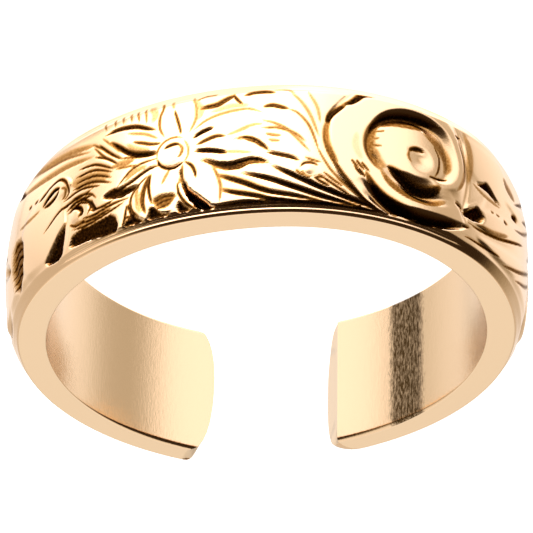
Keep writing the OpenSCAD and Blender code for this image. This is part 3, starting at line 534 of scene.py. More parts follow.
FEATHER_CUTS = [
    (0.018, 0.6, 0.85, [(-1.93, 0.33), (-1.7, 0.43), (-1.38, 0.455)]),
    (0.018, 0.7, 0.85, [(-1.66, 0.385), (-1.53, 0.425), (-1.38, 0.4)],
     [(-1.65, 0.355), (-1.53, 0.4), (-1.42, 0.355)], [(-1.7, 0.48), (-1.5, 0.5), (-1.31, 0.45)]),
    (0.018, 0.8, 0.85, [(-1.6, 0.525), (-1.4, 0.515), (-1.21, 0.435)],
     [(-1.58, 0.565), (-1.38, 0.555), (-1.21, 0.475)], [(-1.57, 0.61), (-1.38, 0.6), (-1.2, 0.515)],
     [(-1.54, 0.665), (-1.37, 0.64), (-1.19, 0.535)], [(-1.38, 0.7), (-1.27, 0.65), (-1.16, 0.56)],
     [(-1.35, 0.79), (-1.26, 0.7), (-1.14, 0.59)]),
    (0.018, 0.7, 0.85, [(-1.6, 0.215), (-1.45, 0.2), (-1.28, 0.215), (-1.1, 0.25)]),
    (0.018, 0.6, 0.85, [(-1.55, 0.24), (-1.4, 0.225), (-1.22, 0.24)],
     [(-1.5, 0.265), (-1.38, 0.25), (-1.22, 0.27), (-1.06, 0.27)]),
    (0.018, 0.5, 0.85, [(-1.43, 0.3), (-1.33, 0.285), (-1.2, 0.295)]),
    # flutes of the leaf along the lower rim, and long leaves above the lobe
    (0.016, 0.3, 0.45, [(-1.28, 0.87), (-1.33, 0.99)], [(-1.2, 0.87), (-1.23, 0.99)],
     [(-1.13, 0.87), (-1.16, 0.99)], [(-1.06, 0.86), (-1.09, 0.98)], [(-1, 0.84), (-1.03, 0.97)],
     [(-0.94, 0.81), (-0.96, 0.95)]),
    (0.07, 0.12, 0.38, [(-1.36, 0.8), (-1.7, 0.87), (-2.2, 0.92)]),
    (0.06, 0.15, 0.4, [(-1.38, 0.71), (-1.75, 0.775), (-2.3, 0.82)]),
    (0.03, 0.2, 0.45, [(-1.42, 0.76), (-1.72, 0.84), (-2.1, 0.89)]),
    # broad strips of painted tan shade, without depth
    (0.15, 0, 0.3, [(-1.62, 0.59), (-1.42, 0.575), (-1.22, 0.51)]),
    (0.06, 0, 0.35, [(-1.6, 0.25), (-1.42, 0.24), (-1.2, 0.26)]),
]
EYE_CUTS = [
    (0.026, 0.5, 0.8, [(-1.98, 0.62), (-1.88, 0.67), (-1.75, 0.685), (-1.66, 0.62), (-1.64, 0.53),
     (-1.7, 0.49)]),
    (0.036, 0.5, 1, [(-1.95, 0.55), (-1.88, 0.595), (-1.8, 0.622), (-1.725, 0.605)]),
    (0.03, 0.4, 0.95, [(-1.93, 0.54), (-1.85, 0.545), (-1.775, 0.565), (-1.74, 0.595)]),
    (0.024, 0.4, 0.7, [(-2.15, 0.645), (-2.11, 0.65)]),
    (0.026, 0.4, 0.75, [(-2.07, 0.645), (-2.02, 0.65)]),
    (0.03, 0.4, 0.8, [(-2, 0.615), (-1.94, 0.645), (-1.88, 0.665)]),
    (0.03, 0.05, 0.35, [(-1.97, 0.545), (-2.12, 0.535), (-2.28, 0.54)]),
    (0.02, 0.3, 0.55, [(-1.72, 0.6), (-1.67, 0.575), (-1.68, 0.53), (-1.72, 0.5)]),
]
VOLUTE_CUTS = [
    # the ditch along the volute's upper left, and the strip of painted tan shade below it
    (0.062, 0.6, 0.9, [(0.74, 0.985), (0.64, 0.975), (0.55, 0.945), (0.5, 0.895), (0.46, 0.86),
     (0.4, 0.83)]),
    (0.056, 0.5, 0.85, [(0.43, 0.835), (0.37, 0.79), (0.325, 0.735), (0.3, 0.66)]),
    (0.052, 0.1, 0.52, [(0.33, 0.74), (0.3, 0.64), (0.3, 0.55), (0.325, 0.46), (0.38, 0.35)]),
    (0.02, 0.4, 0.65, [(0.29, 0.66), (0.285, 0.58), (0.31, 0.46), (0.37, 0.345), (0.44, 0.245),
     (0.55, 0.125), (0.68, 0.055)]),
    (0.018, 0.2, 0.9, [(0.62, 0.7), (0.7, 0.785), (0.8, 0.83), (0.92, 0.855), (1.05, 0.855)]),
    (0.018, 0.2, 0.8, [(0.65, 0.69), (0.73, 0.765), (0.83, 0.805), (0.95, 0.825), (1.08, 0.835)]),
    # volute: painted tan and dark shade without depth in the trough and round it, then the groove at the
    # pad's right and its dish
    (0.11, 0, 0.5, [(0.66, 0.74), (0.61, 0.68), (0.588, 0.6), (0.595, 0.51), (0.635, 0.42),
     (0.69, 0.355)]),
    (0.08, 0, 0.52, [(0.66, 0.375), (0.74, 0.29), (0.85, 0.245), (0.96, 0.23), (1.07, 0.24),
     (1.19, 0.285)]),
    (0.12, 0, 0.46, [(0.99, 0.765), (1.1, 0.735), (1.175, 0.67), (1.205, 0.58), (1.18, 0.49)]),
    (0.085, 0, 0.52, [(0.66, 0.715), (0.76, 0.77), (0.88, 0.79), (1.02, 0.785)]),
    (0.095, 0, 0.97, [(0.56, 0.33), (0.62, 0.235), (0.72, 0.155), (0.9, 0.1), (1.1, 0.105),
     (1.32, 0.165)]),
    (0.12, 0, 0.95, [(0.72, 0.415), (0.84, 0.35), (0.96, 0.315), (1.07, 0.335), (1.13, 0.38)]),
    (0.07, 0, 0.85, [(0.575, 0.58), (0.615, 0.7), (0.71, 0.79), (0.84, 0.84), (0.98, 0.855),
     (1.14, 0.845)]),
    (0.09, 0, 0.36, [(0.62, 0.53), (0.65, 0.45), (0.71, 0.385)]),
    (0.06, 0, 0.1, [(0.5, 0.62), (0.495, 0.52), (0.54, 0.4)]),
    (0.016, 0.5, 0.7, [(1.08, 0.68), (1.128, 0.6), (1.12, 0.5), (1.085, 0.435)]),
    (0.018, 0.4, 0.95, [(1.03, 0.425), (1.1, 0.43), (1.2, 0.455)]),
    (0.04, 0.3, 0.8, [(0.875, 0.565), (0.9, 0.595), (0.945, 0.61), (1, 0.6)]),
    (0.022, 0.05, 0.45, [(0.88, 0.575), (0.875, 0.53), (0.9, 0.485)]),
    # cast-in scratches on the pad and on the ridge
    (0.012, 0.3, None, [(0.6, 0.46), (0.66, 0.45)]),
    (0.013, 0.4, None, [(0.6, 0.55), (0.68, 0.555)]),
    (0.012, 0.3, None, [(0.61, 0.6), (0.66, 0.61)]),
    (0.013, 0.4, None, [(0.63, 0.66), (0.7, 0.68)]),
    (0.013, 0.15, 0.65, [(0.465, 0.4), (0.515, 0.34)]),
    (0.013, 0.15, 0.7, [(0.495, 0.405), (0.555, 0.33)], [(0.53, 0.395), (0.59, 0.325)]),
    (0.013, 0.15, 0.8, [(0.485, 0.355), (0.54, 0.285)]),
    (0.013, 0.15, 0.85, [(0.515, 0.34), (0.56, 0.28)]),
]
RIGHT_CUTS = [
    (0.016, 0.8, None, [(1.27, 0.84), (1.34, 0.85)]),
    (0.014, 0.9, None, [(1.35, 0.175), (1.42, 0.18)]),
    (0.05, 0.1, 0.4, [(1.3, 0.8), (1.355, 0.7), (1.36, 0.58), (1.33, 0.48), (1.28, 0.4)]),
    (0.018, 0.8, None, [(1.27, 0.315), (1.32, 0.31), (1.35, 0.29)]),
    (0.024, 0.3, 0.7, [(1.4, 0.215), (1.55, 0.22), (1.75, 0.26), (1.95, 0.33), (2.2, 0.43)]),
    (0.04, 0.05, 0.4, [(1.5, 0.245), (1.7, 0.275), (1.9, 0.345)]),
    (0.018, 0.3, 0.75, [(1.37, 0.1), (1.6, 0.115), (1.8, 0.13)]),
    (0.026, 0.3, 0.55, [(1.85, 0.1), (2.1, 0.18), (2.3, 0.27), (2.52, 0.39)]),
    (0.024, 0.3, 0.5, [(2.1, 0.11), (2.35, 0.2), (2.6, 0.34)]),
    (0.045, 0.4, 0.7, [(2.38, 0.42), (2.52, 0.49), (2.7, 0.58)]),
    (0.03, 0.3, 0.6, [(2.02, 0.66), (2.2, 0.76), (2.42, 0.89), (2.55, 0.96)]),
    (0.04, 0.3, 0.55, [(2.16, 0.6), (2.36, 0.7), (2.6, 0.84)]),
    (0.024, 0.3, 0.5, [(2, 0.45), (2.2, 0.53), (2.45, 0.67)]),
    (0.09, 0.05, 0.42, [(1.86, 0.79), (1.95, 0.755), (2.06, 0.71)]),
    (0.045, 0.5, 0.8, [(1.97, 0.545), (2.03, 0.56), (2.06, 0.53)]),
    (0.032, 0.4, 0.7, [(1.84, 0.44), (1.885, 0.43)]),
    (0.018, 0.3, 0.5, [(1.66, 0.425), (1.7, 0.43)], [(1.73, 0.435), (1.78, 0.44)]),
    (0.09, 0.02, 0.3, [(1.38, 0.92), (1.42, 0.8), (1.42, 0.66), (1.4, 0.5)]),
    (0.03, 0.05, 0.35, [(1.45, 0.545), (1.6, 0.515), (1.8, 0.515)]),
]

# The forms first, then the cuts into them
for form in (hidden_arms, left_leaves, hollows, curl, right_leaves, scroll, daisy_and_bead):
    form()
for cuts in (DAISY_CUTS, CURL_CUTS, LEFT_CUTS, SHEAF_CUTS, SPRAY_CUTS, FEATHER_CUTS, EYE_CUTS, VOLUTE_CUTS,
             RIGHT_CUTS):
    for width, tone, shade_paint, *lines in cuts:
        for line in lines:
            cut(line, width, tone, shade_paint)


def box_blur(field, half):
    """Each point's mean over half columns and half rows to either side."""
    n = 2 * half + 1
    for axis in (0, 1):
        margin = [(half + 1, half) if k == axis else (0, 0) for k in (0, 1)]
        wide = np.pad(field, margin, "edge").cumsum(axis)
        low_part = np.take(wide, range(wide.shape[axis] - n), axis)
        field = (np.take(wide, range(n, wide.shape[axis]), axis) - low_part) / n
    return field


H = box_blur(H, 1)
# Painted shade: brown to black as drawn along cuts and in hollows, and tan where the surface lies
# below its surroundings, as shade in recesses
surroundings = box_blur(box_blur(H, 7), 7)
recess = np.maximum(0.35 * smooth((surroundings - H - 0.05) / 0.3), painted_shade)

# The band's section. Towards both ends the ornament fades into its ground.
across = v_net[None, :]
from_long = (U + long_reach) * band_w        # distance from each end's corners, in mm
from_short = (short_reach - U) * band_w
fade = smooth(np.minimum(from_long, from_short) / end_len)
H = ground + (H - ground) * fade

rim = np.minimum(across, 1 - across)         # distance from the nearer rim, in band widths
side = smooth((U - 1.15) / 0.35) + smooth((-1.5 - U) / 0.4)     # 0 on the crown, 1 on the ring's sides
swell = swell_h * np.maximum(0, 1 - (2 * across - 1) ** 2) ** 0.7
side_swell = smooth((U - 1.5) / 0.8) + smooth((-1.8 - U) / 0.6)
swell = swell + side_h * side_swell * np.maximum(0, 4 * across * (1 - across)) ** 0.6

# The border, as heights in mm by the distance from the rim: on the crown a small bevel, a strip, a
# thin groove and a second strip, from which the ornament rises steeply; on the sides the ornament
# rounds off into the rim. Only the upper rim has the groove.
border_v = [0, 0.006, 0.014, 0.022, 0.030, 0.036, 0.042, 0.049, 0.056, 0.070]
crown_h = [0.0, 0.035, 0.055, 0.065, 0.072, 0.080, 0.092, 0.100, 0.106, 0.130]
side_border_h = [0.0, 0.035, 0.062, 0.085, 0.106, 0.120, 0.135, 0.152, 0.168, 0.200]
groove_h, groove_v, groove_half = 0.030, 0.036, 0.006
groove = np.where(across < 0.5, groove_h, 0.0) * (1 - np.minimum(np.abs(rim - groove_v) / groove_half, 1))
crown_edge = np.interp(rim, border_v, crown_h) - groove
side_edge = np.interp(rim, border_v, side_border_h)
crown_field, side_field = smooth((rim - 0.056) / 0.020), smooth((rim - 0.02) / 0.12)
field = crown_field + (side_field - crown_field) * side
border = crown_edge + (side_edge - crown_edge) * side
outside = border * (1 - field) + (swell + relief_h * (H - base)) * field


def round_v(v):
    """The ends' outline: 1 at mid-width, 0 at both rims, rounder than a circle."""
    return np.maximum(0, 1 - np.abs(2 * v - 1) ** 2.25) ** (1 / 2.25)


def near_end(dist):
    return smooth(1 - dist / end_len)


def reach_out(v, outer):
    """How far the ends' rounded outlines pull each point along the band, in mm. outer is 0 on the
    inside wall and 1 outside."""
    return (short_lean * round_v(v) * near_end(from_short)
            - (long_tongue * round_v(v) + long_slant * v + long_lean * outer) * near_end(from_long))


# The short arm's corners, rounded off outwards too
corner_x = 1 - np.minimum(from_short / short_corner, 1)
corner = 0.15 + 0.85 * np.sqrt(1 - corner_x ** 2)
e = round_v(across)
full = (rim_t + outside) * (e + (1 - e) * corner)     # from the inside wall to the outside, in mm

# The rest of the section's rows: across each rim, round the inside wall's edges and across that wall
rim_rows = np.array([0.97, 0.5, 0.03])         # shares of the rim's width, from outside to inside
edge_turn = np.radians([90, 62, 34, 12, 0])
wall_rows = [0.96, 0.91, 0.84, 0.75, 0.62, 0.5, 0.38, 0.25, 0.16, 0.09, 0.04]
n_edge = len(edge_turn)
wall_at = rows + len(rim_rows)                 # where the inside wall starts and ends, edges included
wall_to = wall_at + 2 * n_edge + len(wall_rows)
n_round = wall_to + len(rim_rows)


def section():
    """Every row of every column: h outwards, v across, and outer, from 0 inside to 1 outside."""
    h, v, outer = np.zeros((3, columns, n_round))
    near_gap = smooth(1.2 - np.minimum(from_long / 5.5, from_short / 6.5))
    soft = edge_round + (gap_round - edge_round) * near_gap
    h[:, :rows], v[:, :rows], outer[:, :rows] = full, across, 1
    h[:, rows:wall_at] = soft + (full[:, -1:] - soft) * rim_rows
    v[:, rows:wall_at] = 1
    outer[:, rows:wall_at] = rim_rows
    h[:, wall_to:] = soft + (full[:, :1] - soft) * rim_rows[::-1]
    outer[:, wall_to:] = rim_rows[::-1]
    lift = soft * (1 - np.cos(edge_turn))
    dip = soft * (1 - np.sin(edge_turn)) / band_w
    h[:, wall_at:wall_at + n_edge] = lift
    h[:, wall_to - n_edge:wall_to] = lift[:, ::-1]
    v[:, wall_at:wall_at + n_edge] = 1 - dip
    v[:, wall_at + n_edge:wall_to - n_edge] = wall_rows
    v[:, wall_to - n_edge:wall_to] = dip[:, ::-1]
    return h, v, outer


def build_band():
    """One closed skin: a grid wound round the section, from the upper rim over the ornament and
    the lower rim to the inside wall, its seam merged and its two ends filled."""
    bm = bmesh.new()
    bmesh.ops.create_grid(bm, x_segments=columns - 1, y_segments=n_round, size=0.5)
    mesh = bpy.data.meshes.new("gold_band")
    bm.to_mesh(mesh)
    bm.free()
    flat = np.empty(len(mesh.vertices) * 3)
    mesh.vertices.foreach_get("co", flat)
    flat = flat.reshape(-1, 3)
    column = np.rint((flat[:, 0] + 0.5) * (columns - 1)).astype(int)
    row = np.rint((flat[:, 1] + 0.5) * n_round).astype(int) % n_round

    h, v, outer = section()
    wall = np.zeros(v.shape, bool)
    wall[:, wall_at:wall_to] = True
    s = U * band_w + reach_out(v, outer)
    # The short arm's inside edge is straight, so only its outside leans out
    s = np.where(wall, s - short_lean * round_v(v) * near_end(from_short), s)
    x, y = on_band(s, h)
    place = np.stack([x, y, band_w * (1 - v)], -1) * MM
    mesh.vertices.foreach_set("co", place[column, row].ravel())

    # the painted shade, carried to the skin's points
    painted_shade_skin = np.zeros((columns, n_round))
    painted_shade_skin[:, :rows] = recess * fade * smooth((rim - 0.046) / 0.012)
    # A painted dark reflection across the inside wall of the short arm, from 2.5 to 4.2 mm off its end
    patch = smooth((from_short - 2.15) / 0.6) * smooth((4.65 - from_short) / 0.7) * wall
    for name, value in (("recess", painted_shade_skin), ("patch", patch)):
        points = mesh.attributes.new(name, "FLOAT", "POINT").data
        points.foreach_set("value", value[column, row].astype(np.float32))

    # Each face takes its finish from the rows it lies between
    polished, satin, burnished = 0, 1, 2
    finish = np.full(n_round, satin)
    finish[:rows - 1] = polished
    finish[wall_at:wall_to - 1] = burnished
    corners = np.empty(len(mesh.loops), int)
    mesh.loops.foreach_get("vertex_index", corners)
    quads = row[corners].reshape(-1, 4)
    lowest = np.where(quads.max(1) - quads.min(1) > 1, n_round - 1, quads.min(1))
    mesh.polygons.foreach_set("material_index", finish[lowest].astype(np.int32))
    mesh.polygons.foreach_set("use_smooth", np.ones(len(mesh.polygons), bool))
    mesh.update()

    bm = bmesh.new()
    bm.from_mesh(mesh)
    bmesh.ops.remove_doubles(bm, verts=bm.verts, dist=1e-9)
    open_edges = [edge for edge in bm.edges if edge.is_boundary]
    made = bmesh.ops.holes_fill(bm, edges=open_edges, sides=0)
    for cap in made["faces"]:
        cap.material_index = satin
    bmesh.ops.triangulate(bm, faces=made["faces"])
    bmesh.ops.recalc_face_normals(bm, faces=bm.faces)
    bm.to_mesh(mesh)
    bm.free()
    return mesh


# Materials
def linear(hex_code):
    """An sRGB hex colour as linear RGBA."""
    parts = [int(hex_code[k:k + 2], 16) / 255 for k in (1, 3, 5)]
    return [c / 12.92 if c <= 0.04045 else ((c + 0.055) / 1.055) ** 2.4 for c in parts] + [1]


def add(tree, kind, settings=None, links=None):
    """Adds a node with its settings and its links, each to a socket by name or number. A ramp's
    stops are rows of a place and a grey or a colour."""
    node = tree.nodes.new(kind)
    for key, value in (settings or {}).items():
        if key == "stops":
            stops = node.color_ramp.elements
            while len(stops) < len(value):
                stops.new(1.0)
            for stop, (place, *light) in zip(stops, value):
                stop.position = place
                stop.color = [*(light * 3)[:3], 1]
        elif isinstance(key, int) or key in node.inputs:
            node.inputs[key].default_value = value
        else:
            setattr(node, key, value)
    for key, source in (links or {}).items():
        tree.links.new(source, node.inputs[key])
    return node


def material(name):
    m = bpy.data.materials.new(name)
    m.use_nodes = True
    m.node_tree.nodes.clear()
    return m, m.node_tree


# Polished gold, then ever darker painted shade, brown to black, for cuts and hollows
shade_colours = ((0.0, "#EECBA4"), (0.25, "#C0935A"), (0.50, "#845722"), (0.75, "#44290F"), (1.0, "#140A05"))
SHADE_COLOURS = [(depth, *linear(hex_code)[:3]) for depth, hex_code in shade_colours]


def polished_gold():
    # 14-karat yellow gold, cast and then polished: warm and sharp on top, duller where left as cast
    # in the hollows, with brown to black shade painted into the colour of the cuts and hollows
    m, t = material("yellow_gold_cast_and_polished")
    place = add(t, "ShaderNodeTexCoord").outputs["Object"]
    # how much shade is painted here, along cuts, in pits and in recesses
    hollow = add(t, "ShaderNodeAttribute", {"attribute_name": "recess"}).outputs["Fac"]
    # polishing marks, about 0.1 mm apart
    marks = add(t, "ShaderNodeTexNoise", {"Scale": 9000.0, "Detail": 3.0, "Roughness": 0.6},
                {"Vector": place})
    # grain of the casting in the hollows, about 0.06 mm
    grain = add(t, "ShaderNodeTexNoise", {"Scale": 14000.0, "Detail": 3.0, "Roughness": 0.7},
                {"Vector": place})
    rough_grain = add(t, "ShaderNodeMath", {"operation": "MULTIPLY", 1: 14.0}, {0: grain.outputs["Fac"]})
    skin = add(t, "ShaderNodeMix", {"data_type": "FLOAT"},
               {0: hollow, 2: marks.outputs["Fac"], 3: rough_grain.outputs[0]})
    bump = add(t, "ShaderNodeBump", {"Strength": 0.12, "Distance": 0.00002}, {"Height": skin.outputs[0]})
    # the painted shade breaks up with the grain
    broken = add(t, "ShaderNodeMapRange",
                 {"From Min": 0.25, "From Max": 0.75, "To Min": 0.70, "To Max": 1.30},
                 {"Value": grain.outputs["Fac"]})
    shade_paint = add(t, "ShaderNodeMath", {"operation": "MULTIPLY"}, {0: hollow, 1: broken.outputs["Result"]})
    colour = add(t, "ShaderNodeValToRGB", {"stops": SHADE_COLOURS}, {"Fac": shade_paint.outputs[0]})
    rough = add(t, "ShaderNodeMapRange", {"To Min": 0.17, "To Max": 0.40}, {"Value": hollow})
    # where shade is painted, the reflection at a glance is painted dark as well
    glance = add(t, "ShaderNodeMix", {"data_type": "RGBA", 6: linear("#FFFFFF"), 7: linear("#5A4630")},
                 {0: shade_paint.outputs[0]})
    shader = add(t, "ShaderNodeBsdfPrincipled", {"Metallic": 1.0},
                 {"Base Color": colour.outputs["Color"], "Roughness": rough.outputs["Result"],
                  "Specular Tint": glance.outputs[2], "Normal": bump.outputs["Normal"]})
    add(t, "ShaderNodeOutputMaterial", None, {"Surface": shader.outputs["BSDF"]})
    return m


def satin_gold():
    # the same gold, filed flat and brushed with fine paper: soft, even sheen
    m, t = material("yellow_gold_brushed_rims")
    place = add(t, "ShaderNodeTexCoord").outputs["Object"]
    # scratches of the paper, about 0.08 mm apart
    scratch = add(t, "ShaderNodeTexNoise", {"Scale": 12000.0, "Detail": 3.0}, {"Vector": place})
    bump = add(t, "ShaderNodeBump", {"Strength": 0.10, "Distance": 0.00001},
               {"Height": scratch.outputs["Fac"]})
    shader = add(t, "ShaderNodeBsdfPrincipled",
                 {"Base Color": linear("#F3D8B4"), "Metallic": 1.0, "Roughness": 0.30},
                 {"Normal": bump.outputs["Normal"]})
    add(t, "ShaderNodeOutputMaterial", None, {"Surface": shader.outputs["BSDF"]})
    return m


def burnished_gold():
    # the inside wall: turned and rubbed along the toe, and a painted dark reflection stands on it in an
    # upright band with a broken edge
    m, t = material("yellow_gold_burnished_inside")
    place = add(t, "ShaderNodeTexCoord").outputs["Object"]
    # strokes 0.07 mm wide and 0.25 mm long, and soft dents 0.4 mm across
    strokes = add(t, "ShaderNodeMapping", {"Scale": (14000.0, 14000.0, 4000.0)}, {"Vector": place})
    fine = add(t, "ShaderNodeTexNoise", {"Scale": 1.0, "Detail": 4.0, "Roughness": 0.7},
               {"Vector": strokes.outputs["Vector"]})
    dents = add(t, "ShaderNodeTexNoise", {"Scale": 2600.0, "Detail": 4.0, "Roughness": 0.65},
                {"Vector": place})
    both = add(t, "ShaderNodeMix", {"data_type": "FLOAT", 0: 0.5},
               {2: fine.outputs["Fac"], 3: dents.outputs["Fac"]})
    bump = add(t, "ShaderNodeBump", {"Strength": 0.55, "Distance": 0.00002}, {"Height": both.outputs[0]})
    # the painted dark reflection, its edge and its middle broken up by the strokes
    patch = add(t, "ShaderNodeAttribute", {"attribute_name": "patch"}).outputs["Fac"]
    broken = add(t, "ShaderNodeMath", {"operation": "MULTIPLY_ADD", 1: 1.6},
                 {0: fine.outputs["Fac"], 2: patch})
    share = add(t, "ShaderNodeMapRange", {"From Min": 1.20, "From Max": 1.90}, {"Value": broken.outputs[0]})
    colour = add(t, "ShaderNodeMix", {"data_type": "RGBA", 6: linear("#E6C8A3"), 7: linear("#4A3517")},
                 {0: share.outputs["Result"]})
    shader = add(t, "ShaderNodeBsdfPrincipled", {"Metallic": 1.0, "Roughness": 0.15},
                 {"Base Color": colour.outputs[2], "Normal": bump.outputs["Normal"]})
    add(t, "ShaderNodeOutputMaterial", None, {"Surface": shader.outputs["BSDF"]})
    return m


mesh = build_band()
for finish in (polished_gold(), satin_gold(), burnished_gold()):
    mesh.materials.append(finish)
mesh.set_sharp_from_angle(angle=math.radians(50))
band = bpy.data.objects.new("gold_band", mesh)
bpy.context.scene.collection.objects.link(band)
print("gold_band triangles", sum(len(p.vertices) - 2 for p in mesh.polygons))
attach(band, "root")
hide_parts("band")


def camera():
    """The photograph's camera, fitted to the outlines of both rims. It looks over the crown from
    29 degrees above the floor, turned upside down, so that the crown is at the picture's top."""
    picture = 533                       # the picture's width in pixels
    focal_px = 4604.2                   # the focal length, in the same pixels
    sensor = 36
    tilt, roll = 1.06659, 0.0114467     # radians
    distance = 156.73                   # mm from the upper rim
    aim_right, aim_up = 0.0245, 2.3275
    away = Vector((0, -math.sin(tilt), math.cos(tilt)))
    right0 = Vector((-1, 0, 0))
    up0 = away.cross(right0)
    right = right0 * math.cos(roll) + up0 * math.sin(roll)
    up = up0 * math.cos(roll) - right0 * math.sin(roll)
    spot = Vector((0, 0, band_w)) + away * distance + right * aim_right + up * aim_up
    data = bpy.data.cameras.new("camera")
    data.sensor_fit = "HORIZONTAL"
    data.sensor_width = sensor
    data.lens = focal_px / picture * sensor
    data.clip_start = 0.005
    data.clip_end = 20
    cam = bpy.data.objects.new("camera", data)
    cam.matrix_world = Matrix((
        (right.x, up.x, away.x, spot.x * MM), (right.y, up.y, away.y, spot.y * MM),
        (right.z, up.z, away.z, spot.z * MM), (0, 0, 0, 1)))
    bpy.context.scene.collection.objects.link(cam)
    bpy.context.scene.camera = cam


# Floor and studio
def plane(name, size, z):
    """A level square at height z, from -size to size both ways."""
    bm = bmesh.new()
    bmesh.ops.create_grid(bm, x_segments=1, y_segments=1, size=size)
    bmesh.ops.translate(bm, verts=bm.verts, vec=(0, 0, z))
    m = bpy.data.meshes.new(name)
    bm.to_mesh(m)
    bm.free()
    o = bpy.data.objects.new(name, m)
    bpy.context.scene.collection.objects.link(o)
    return o


def floor():
    """A glowing white table, so bright that nothing shades it. The gold sees the studio instead."""
    o = plane("floor", 1.5, 0)
    m, t = material("white_acrylic_light_table")
    shader = add(t, "ShaderNodeBsdfPrincipled",
                 {"Base Color": linear("#FFFFFF"), "Roughness": 0.9, "Specular IOR Level": 0.0,
                  "Emission Color": linear("#FFFFFF"), "Emission Strength": 1.02})
    add(t, "ShaderNodeOutputMaterial", None, {"Surface": shader.outputs["BSDF"]})
    o.data.materials.append(m)
    o.visible_glossy = False


# What the gold mirrors, by the compass: degrees from -Y towards +X, and how bright it is there
BELOW = [   # the lit table inside the ring, and the cards that stand on it
    (-180, 1.0), (-150, 1.15), (-141, 1.25), (-125, 1.25), (-112, 1.05), (-102, 0.72), (-78, 0.66),
    (-70, 1.1), (-62, 1.60), (-50, 1.70), (50, 1.70), (60, 1.65), (73, 1.55), (79, 1.05), (95, 0.85),
    (100, 0.85), (104, 0.98), (122, 1.15), (138, 1.15), (141, 0.65), (144, 1.1), (180, 1.0)]
ABOVE = [   # black cloth round the camera's side of the table, a pale wall behind
    (-180, 1.0), (-135, 0.9), (-108, 0.03), (62, 0.03), (90, 0.9), (180, 1.0)]
PANE = [    # how much the pane round the ring strengthens what the outside mirrors
    (-180, 1.0), (-100, 1.0), (-70, 1.05), (-50, 1.10), (-30, 1.20), (-15, 1.30), (-7, 1.75), (2, 2.1),
    (44, 2.1), (56, 1.7), (75, 1.5), (92, 1.05), (180, 1.0)]
HEIGHT = [  # the pale wall's brightness by degrees above the table
    (0, 0.80), (20, 0.80), (26, 0.88), (29, 1.0), (32, 1.12), (50, 1.2), (90, 1.2)]
FULL = 4.0  # a ramp's stops end at 1, so they hold brightness as a share of this
TINT = [    # the dim corners are warm, and the lamps white: each such share's colour
    (0.0, 0.004, 0.001, 0.0), (0.05, 0.053, 0.040, 0.022), (0.125, 0.128, 0.110, 0.080),
    (0.25, 0.254, 0.238, 0.222), (0.5, 0.50, 0.475, 0.48), (1.0, 1.0, 0.97, 0.98)]


def stops(table, start, span):
    """A table of degrees and brightness as a ramp's stops."""
    return {"stops": [((degrees - start) / span, bright / FULL) for degrees, bright in table]}


def compass(tree, parts):
    """Where a direction points by the compass, as 0 to 1 for -180 to 180 degrees."""
    back = add(tree, "ShaderNodeMath", {"operation": "MULTIPLY", 1: -1.0}, {0: parts.outputs["Y"]})
    angle = add(tree, "ShaderNodeMath", {"operation": "ARCTAN2"},
                {0: parts.outputs["X"], 1: back.outputs[0]})
    turn = add(tree, "ShaderNodeMapRange", {"From Min": -math.pi, "From Max": math.pi},
               {"Value": angle.outputs[0]})
    return turn.outputs["Result"]


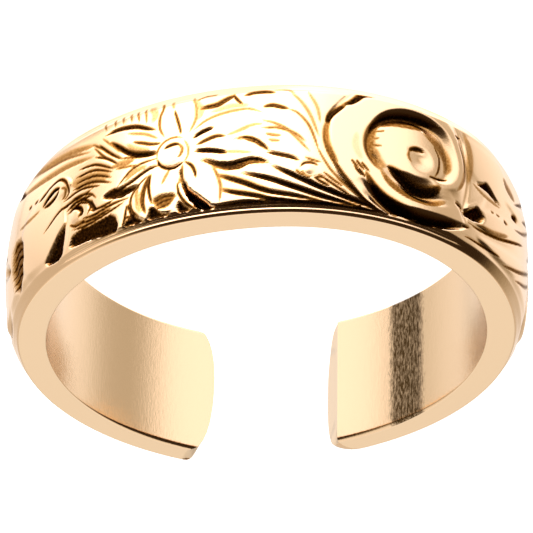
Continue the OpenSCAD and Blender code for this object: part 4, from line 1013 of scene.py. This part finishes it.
def studio():
    """Below the horizon the lit table, dimmer straight under the ring; above it the cloth and the
    pale wall, and a dim ceiling."""
    world = bpy.data.worlds.new("studio")
    world.use_nodes = True
    t = world.node_tree
    t.nodes.clear()
    direction = add(t, "ShaderNodeTexCoord").outputs["Generated"]
    ray = add(t, "ShaderNodeSeparateXYZ", None, {"Vector": direction})
    turn = compass(t, ray)
    below, above = [add(t, "ShaderNodeValToRGB", stops(table, -180, 360), {"Fac": turn}).outputs["Color"]
                    for table in (BELOW, ABOVE)]
    rise = add(t, "ShaderNodeMath", {"operation": "ARCSINE"}, {0: ray.outputs["Z"]}).outputs[0]
    climb = add(t, "ShaderNodeMapRange", {"From Min": 0.0, "From Max": math.pi / 2}, {"Value": rise})
    height = add(t, "ShaderNodeValToRGB", stops(HEIGHT, 0, 90), {"Fac": climb.outputs["Result"]})
    shares = add(t, "ShaderNodeMath", {"operation": "MULTIPLY"}, {0: above, 1: height.outputs["Color"]})
    wall = add(t, "ShaderNodeMath", {"operation": "MULTIPLY", 1: FULL}, {0: shares.outputs[0]})
    # where a ray leaves the table's dim middle, passes the horizon and meets the ceiling, in degrees
    steep, horizon, top = [
        add(t, "ShaderNodeMapRange",
            {"interpolation_type": "SMOOTHSTEP", "From Min": math.radians(a), "From Max": math.radians(b)},
            {"Value": rise}).outputs["Result"]
        for a, b in ((-54, -38), (-24, -6), (80, 88))]
    table = add(t, "ShaderNodeMix", {"data_type": "FLOAT", 2: 0.5}, {0: steep, 3: below})
    room = add(t, "ShaderNodeMix", {"data_type": "FLOAT"},
               {0: horizon, 2: table.outputs[0], 3: wall.outputs[0]})
    lit = add(t, "ShaderNodeMix", {"data_type": "FLOAT", 3: 0.35}, {0: top, 2: room.outputs[0]})
    tint = add(t, "ShaderNodeValToRGB", {"stops": TINT}, {"Fac": lit.outputs[0]})
    glow = add(t, "ShaderNodeBackground", {"Strength": FULL}, {"Color": tint.outputs["Color"]})
    add(t, "ShaderNodeOutputWorld", None, {"Surface": glow.outputs["Background"]})
    bpy.context.scene.world = world


def pane():
    """A pane on the table round the ring, with the lamps under it: it strengthens what the outside
    mirrors, most in front of the crown, and leaves the inside wall as it is."""
    o = plane("lamp_pane", 0.15, -0.00003)
    m, t = material("clear_pane_over_lamps")
    spot = add(t, "ShaderNodeTexCoord").outputs["Object"]
    turn = compass(t, add(t, "ShaderNodeSeparateXYZ", None, {"Vector": spot}))
    level = add(t, "ShaderNodeValToRGB", stops(PANE, -180, 360), {"Fac": turn})
    gain = add(t, "ShaderNodeVectorMath", {"operation": "SCALE", "Scale": FULL},
               {0: level.outputs["Color"]})
    radius = add(t, "ShaderNodeVectorMath", {"operation": "LENGTH"}, {0: spot})
    hole = add(t, "ShaderNodeMapRange", {"From Min": 0.0086, "From Max": 0.0088},
               {"Value": radius.outputs["Value"]})
    clear = add(t, "ShaderNodeBsdfTransparent")
    strong = add(t, "ShaderNodeBsdfTransparent", None, {"Color": gain.outputs["Vector"]})
    mix = add(t, "ShaderNodeMixShader", None,
              {0: hole.outputs[0], 1: clear.outputs[0], 2: strong.outputs[0]})
    add(t, "ShaderNodeOutputMaterial", None, {"Surface": mix.outputs[0]})
    o.data.materials.append(m)
    o.visible_camera = False
    o.visible_shadow = False
    o.visible_diffuse = False


camera()
floor()
pane()
studio()

scene = bpy.context.scene
scene.view_settings.view_transform = "Standard"
scene.view_settings.look = "None"
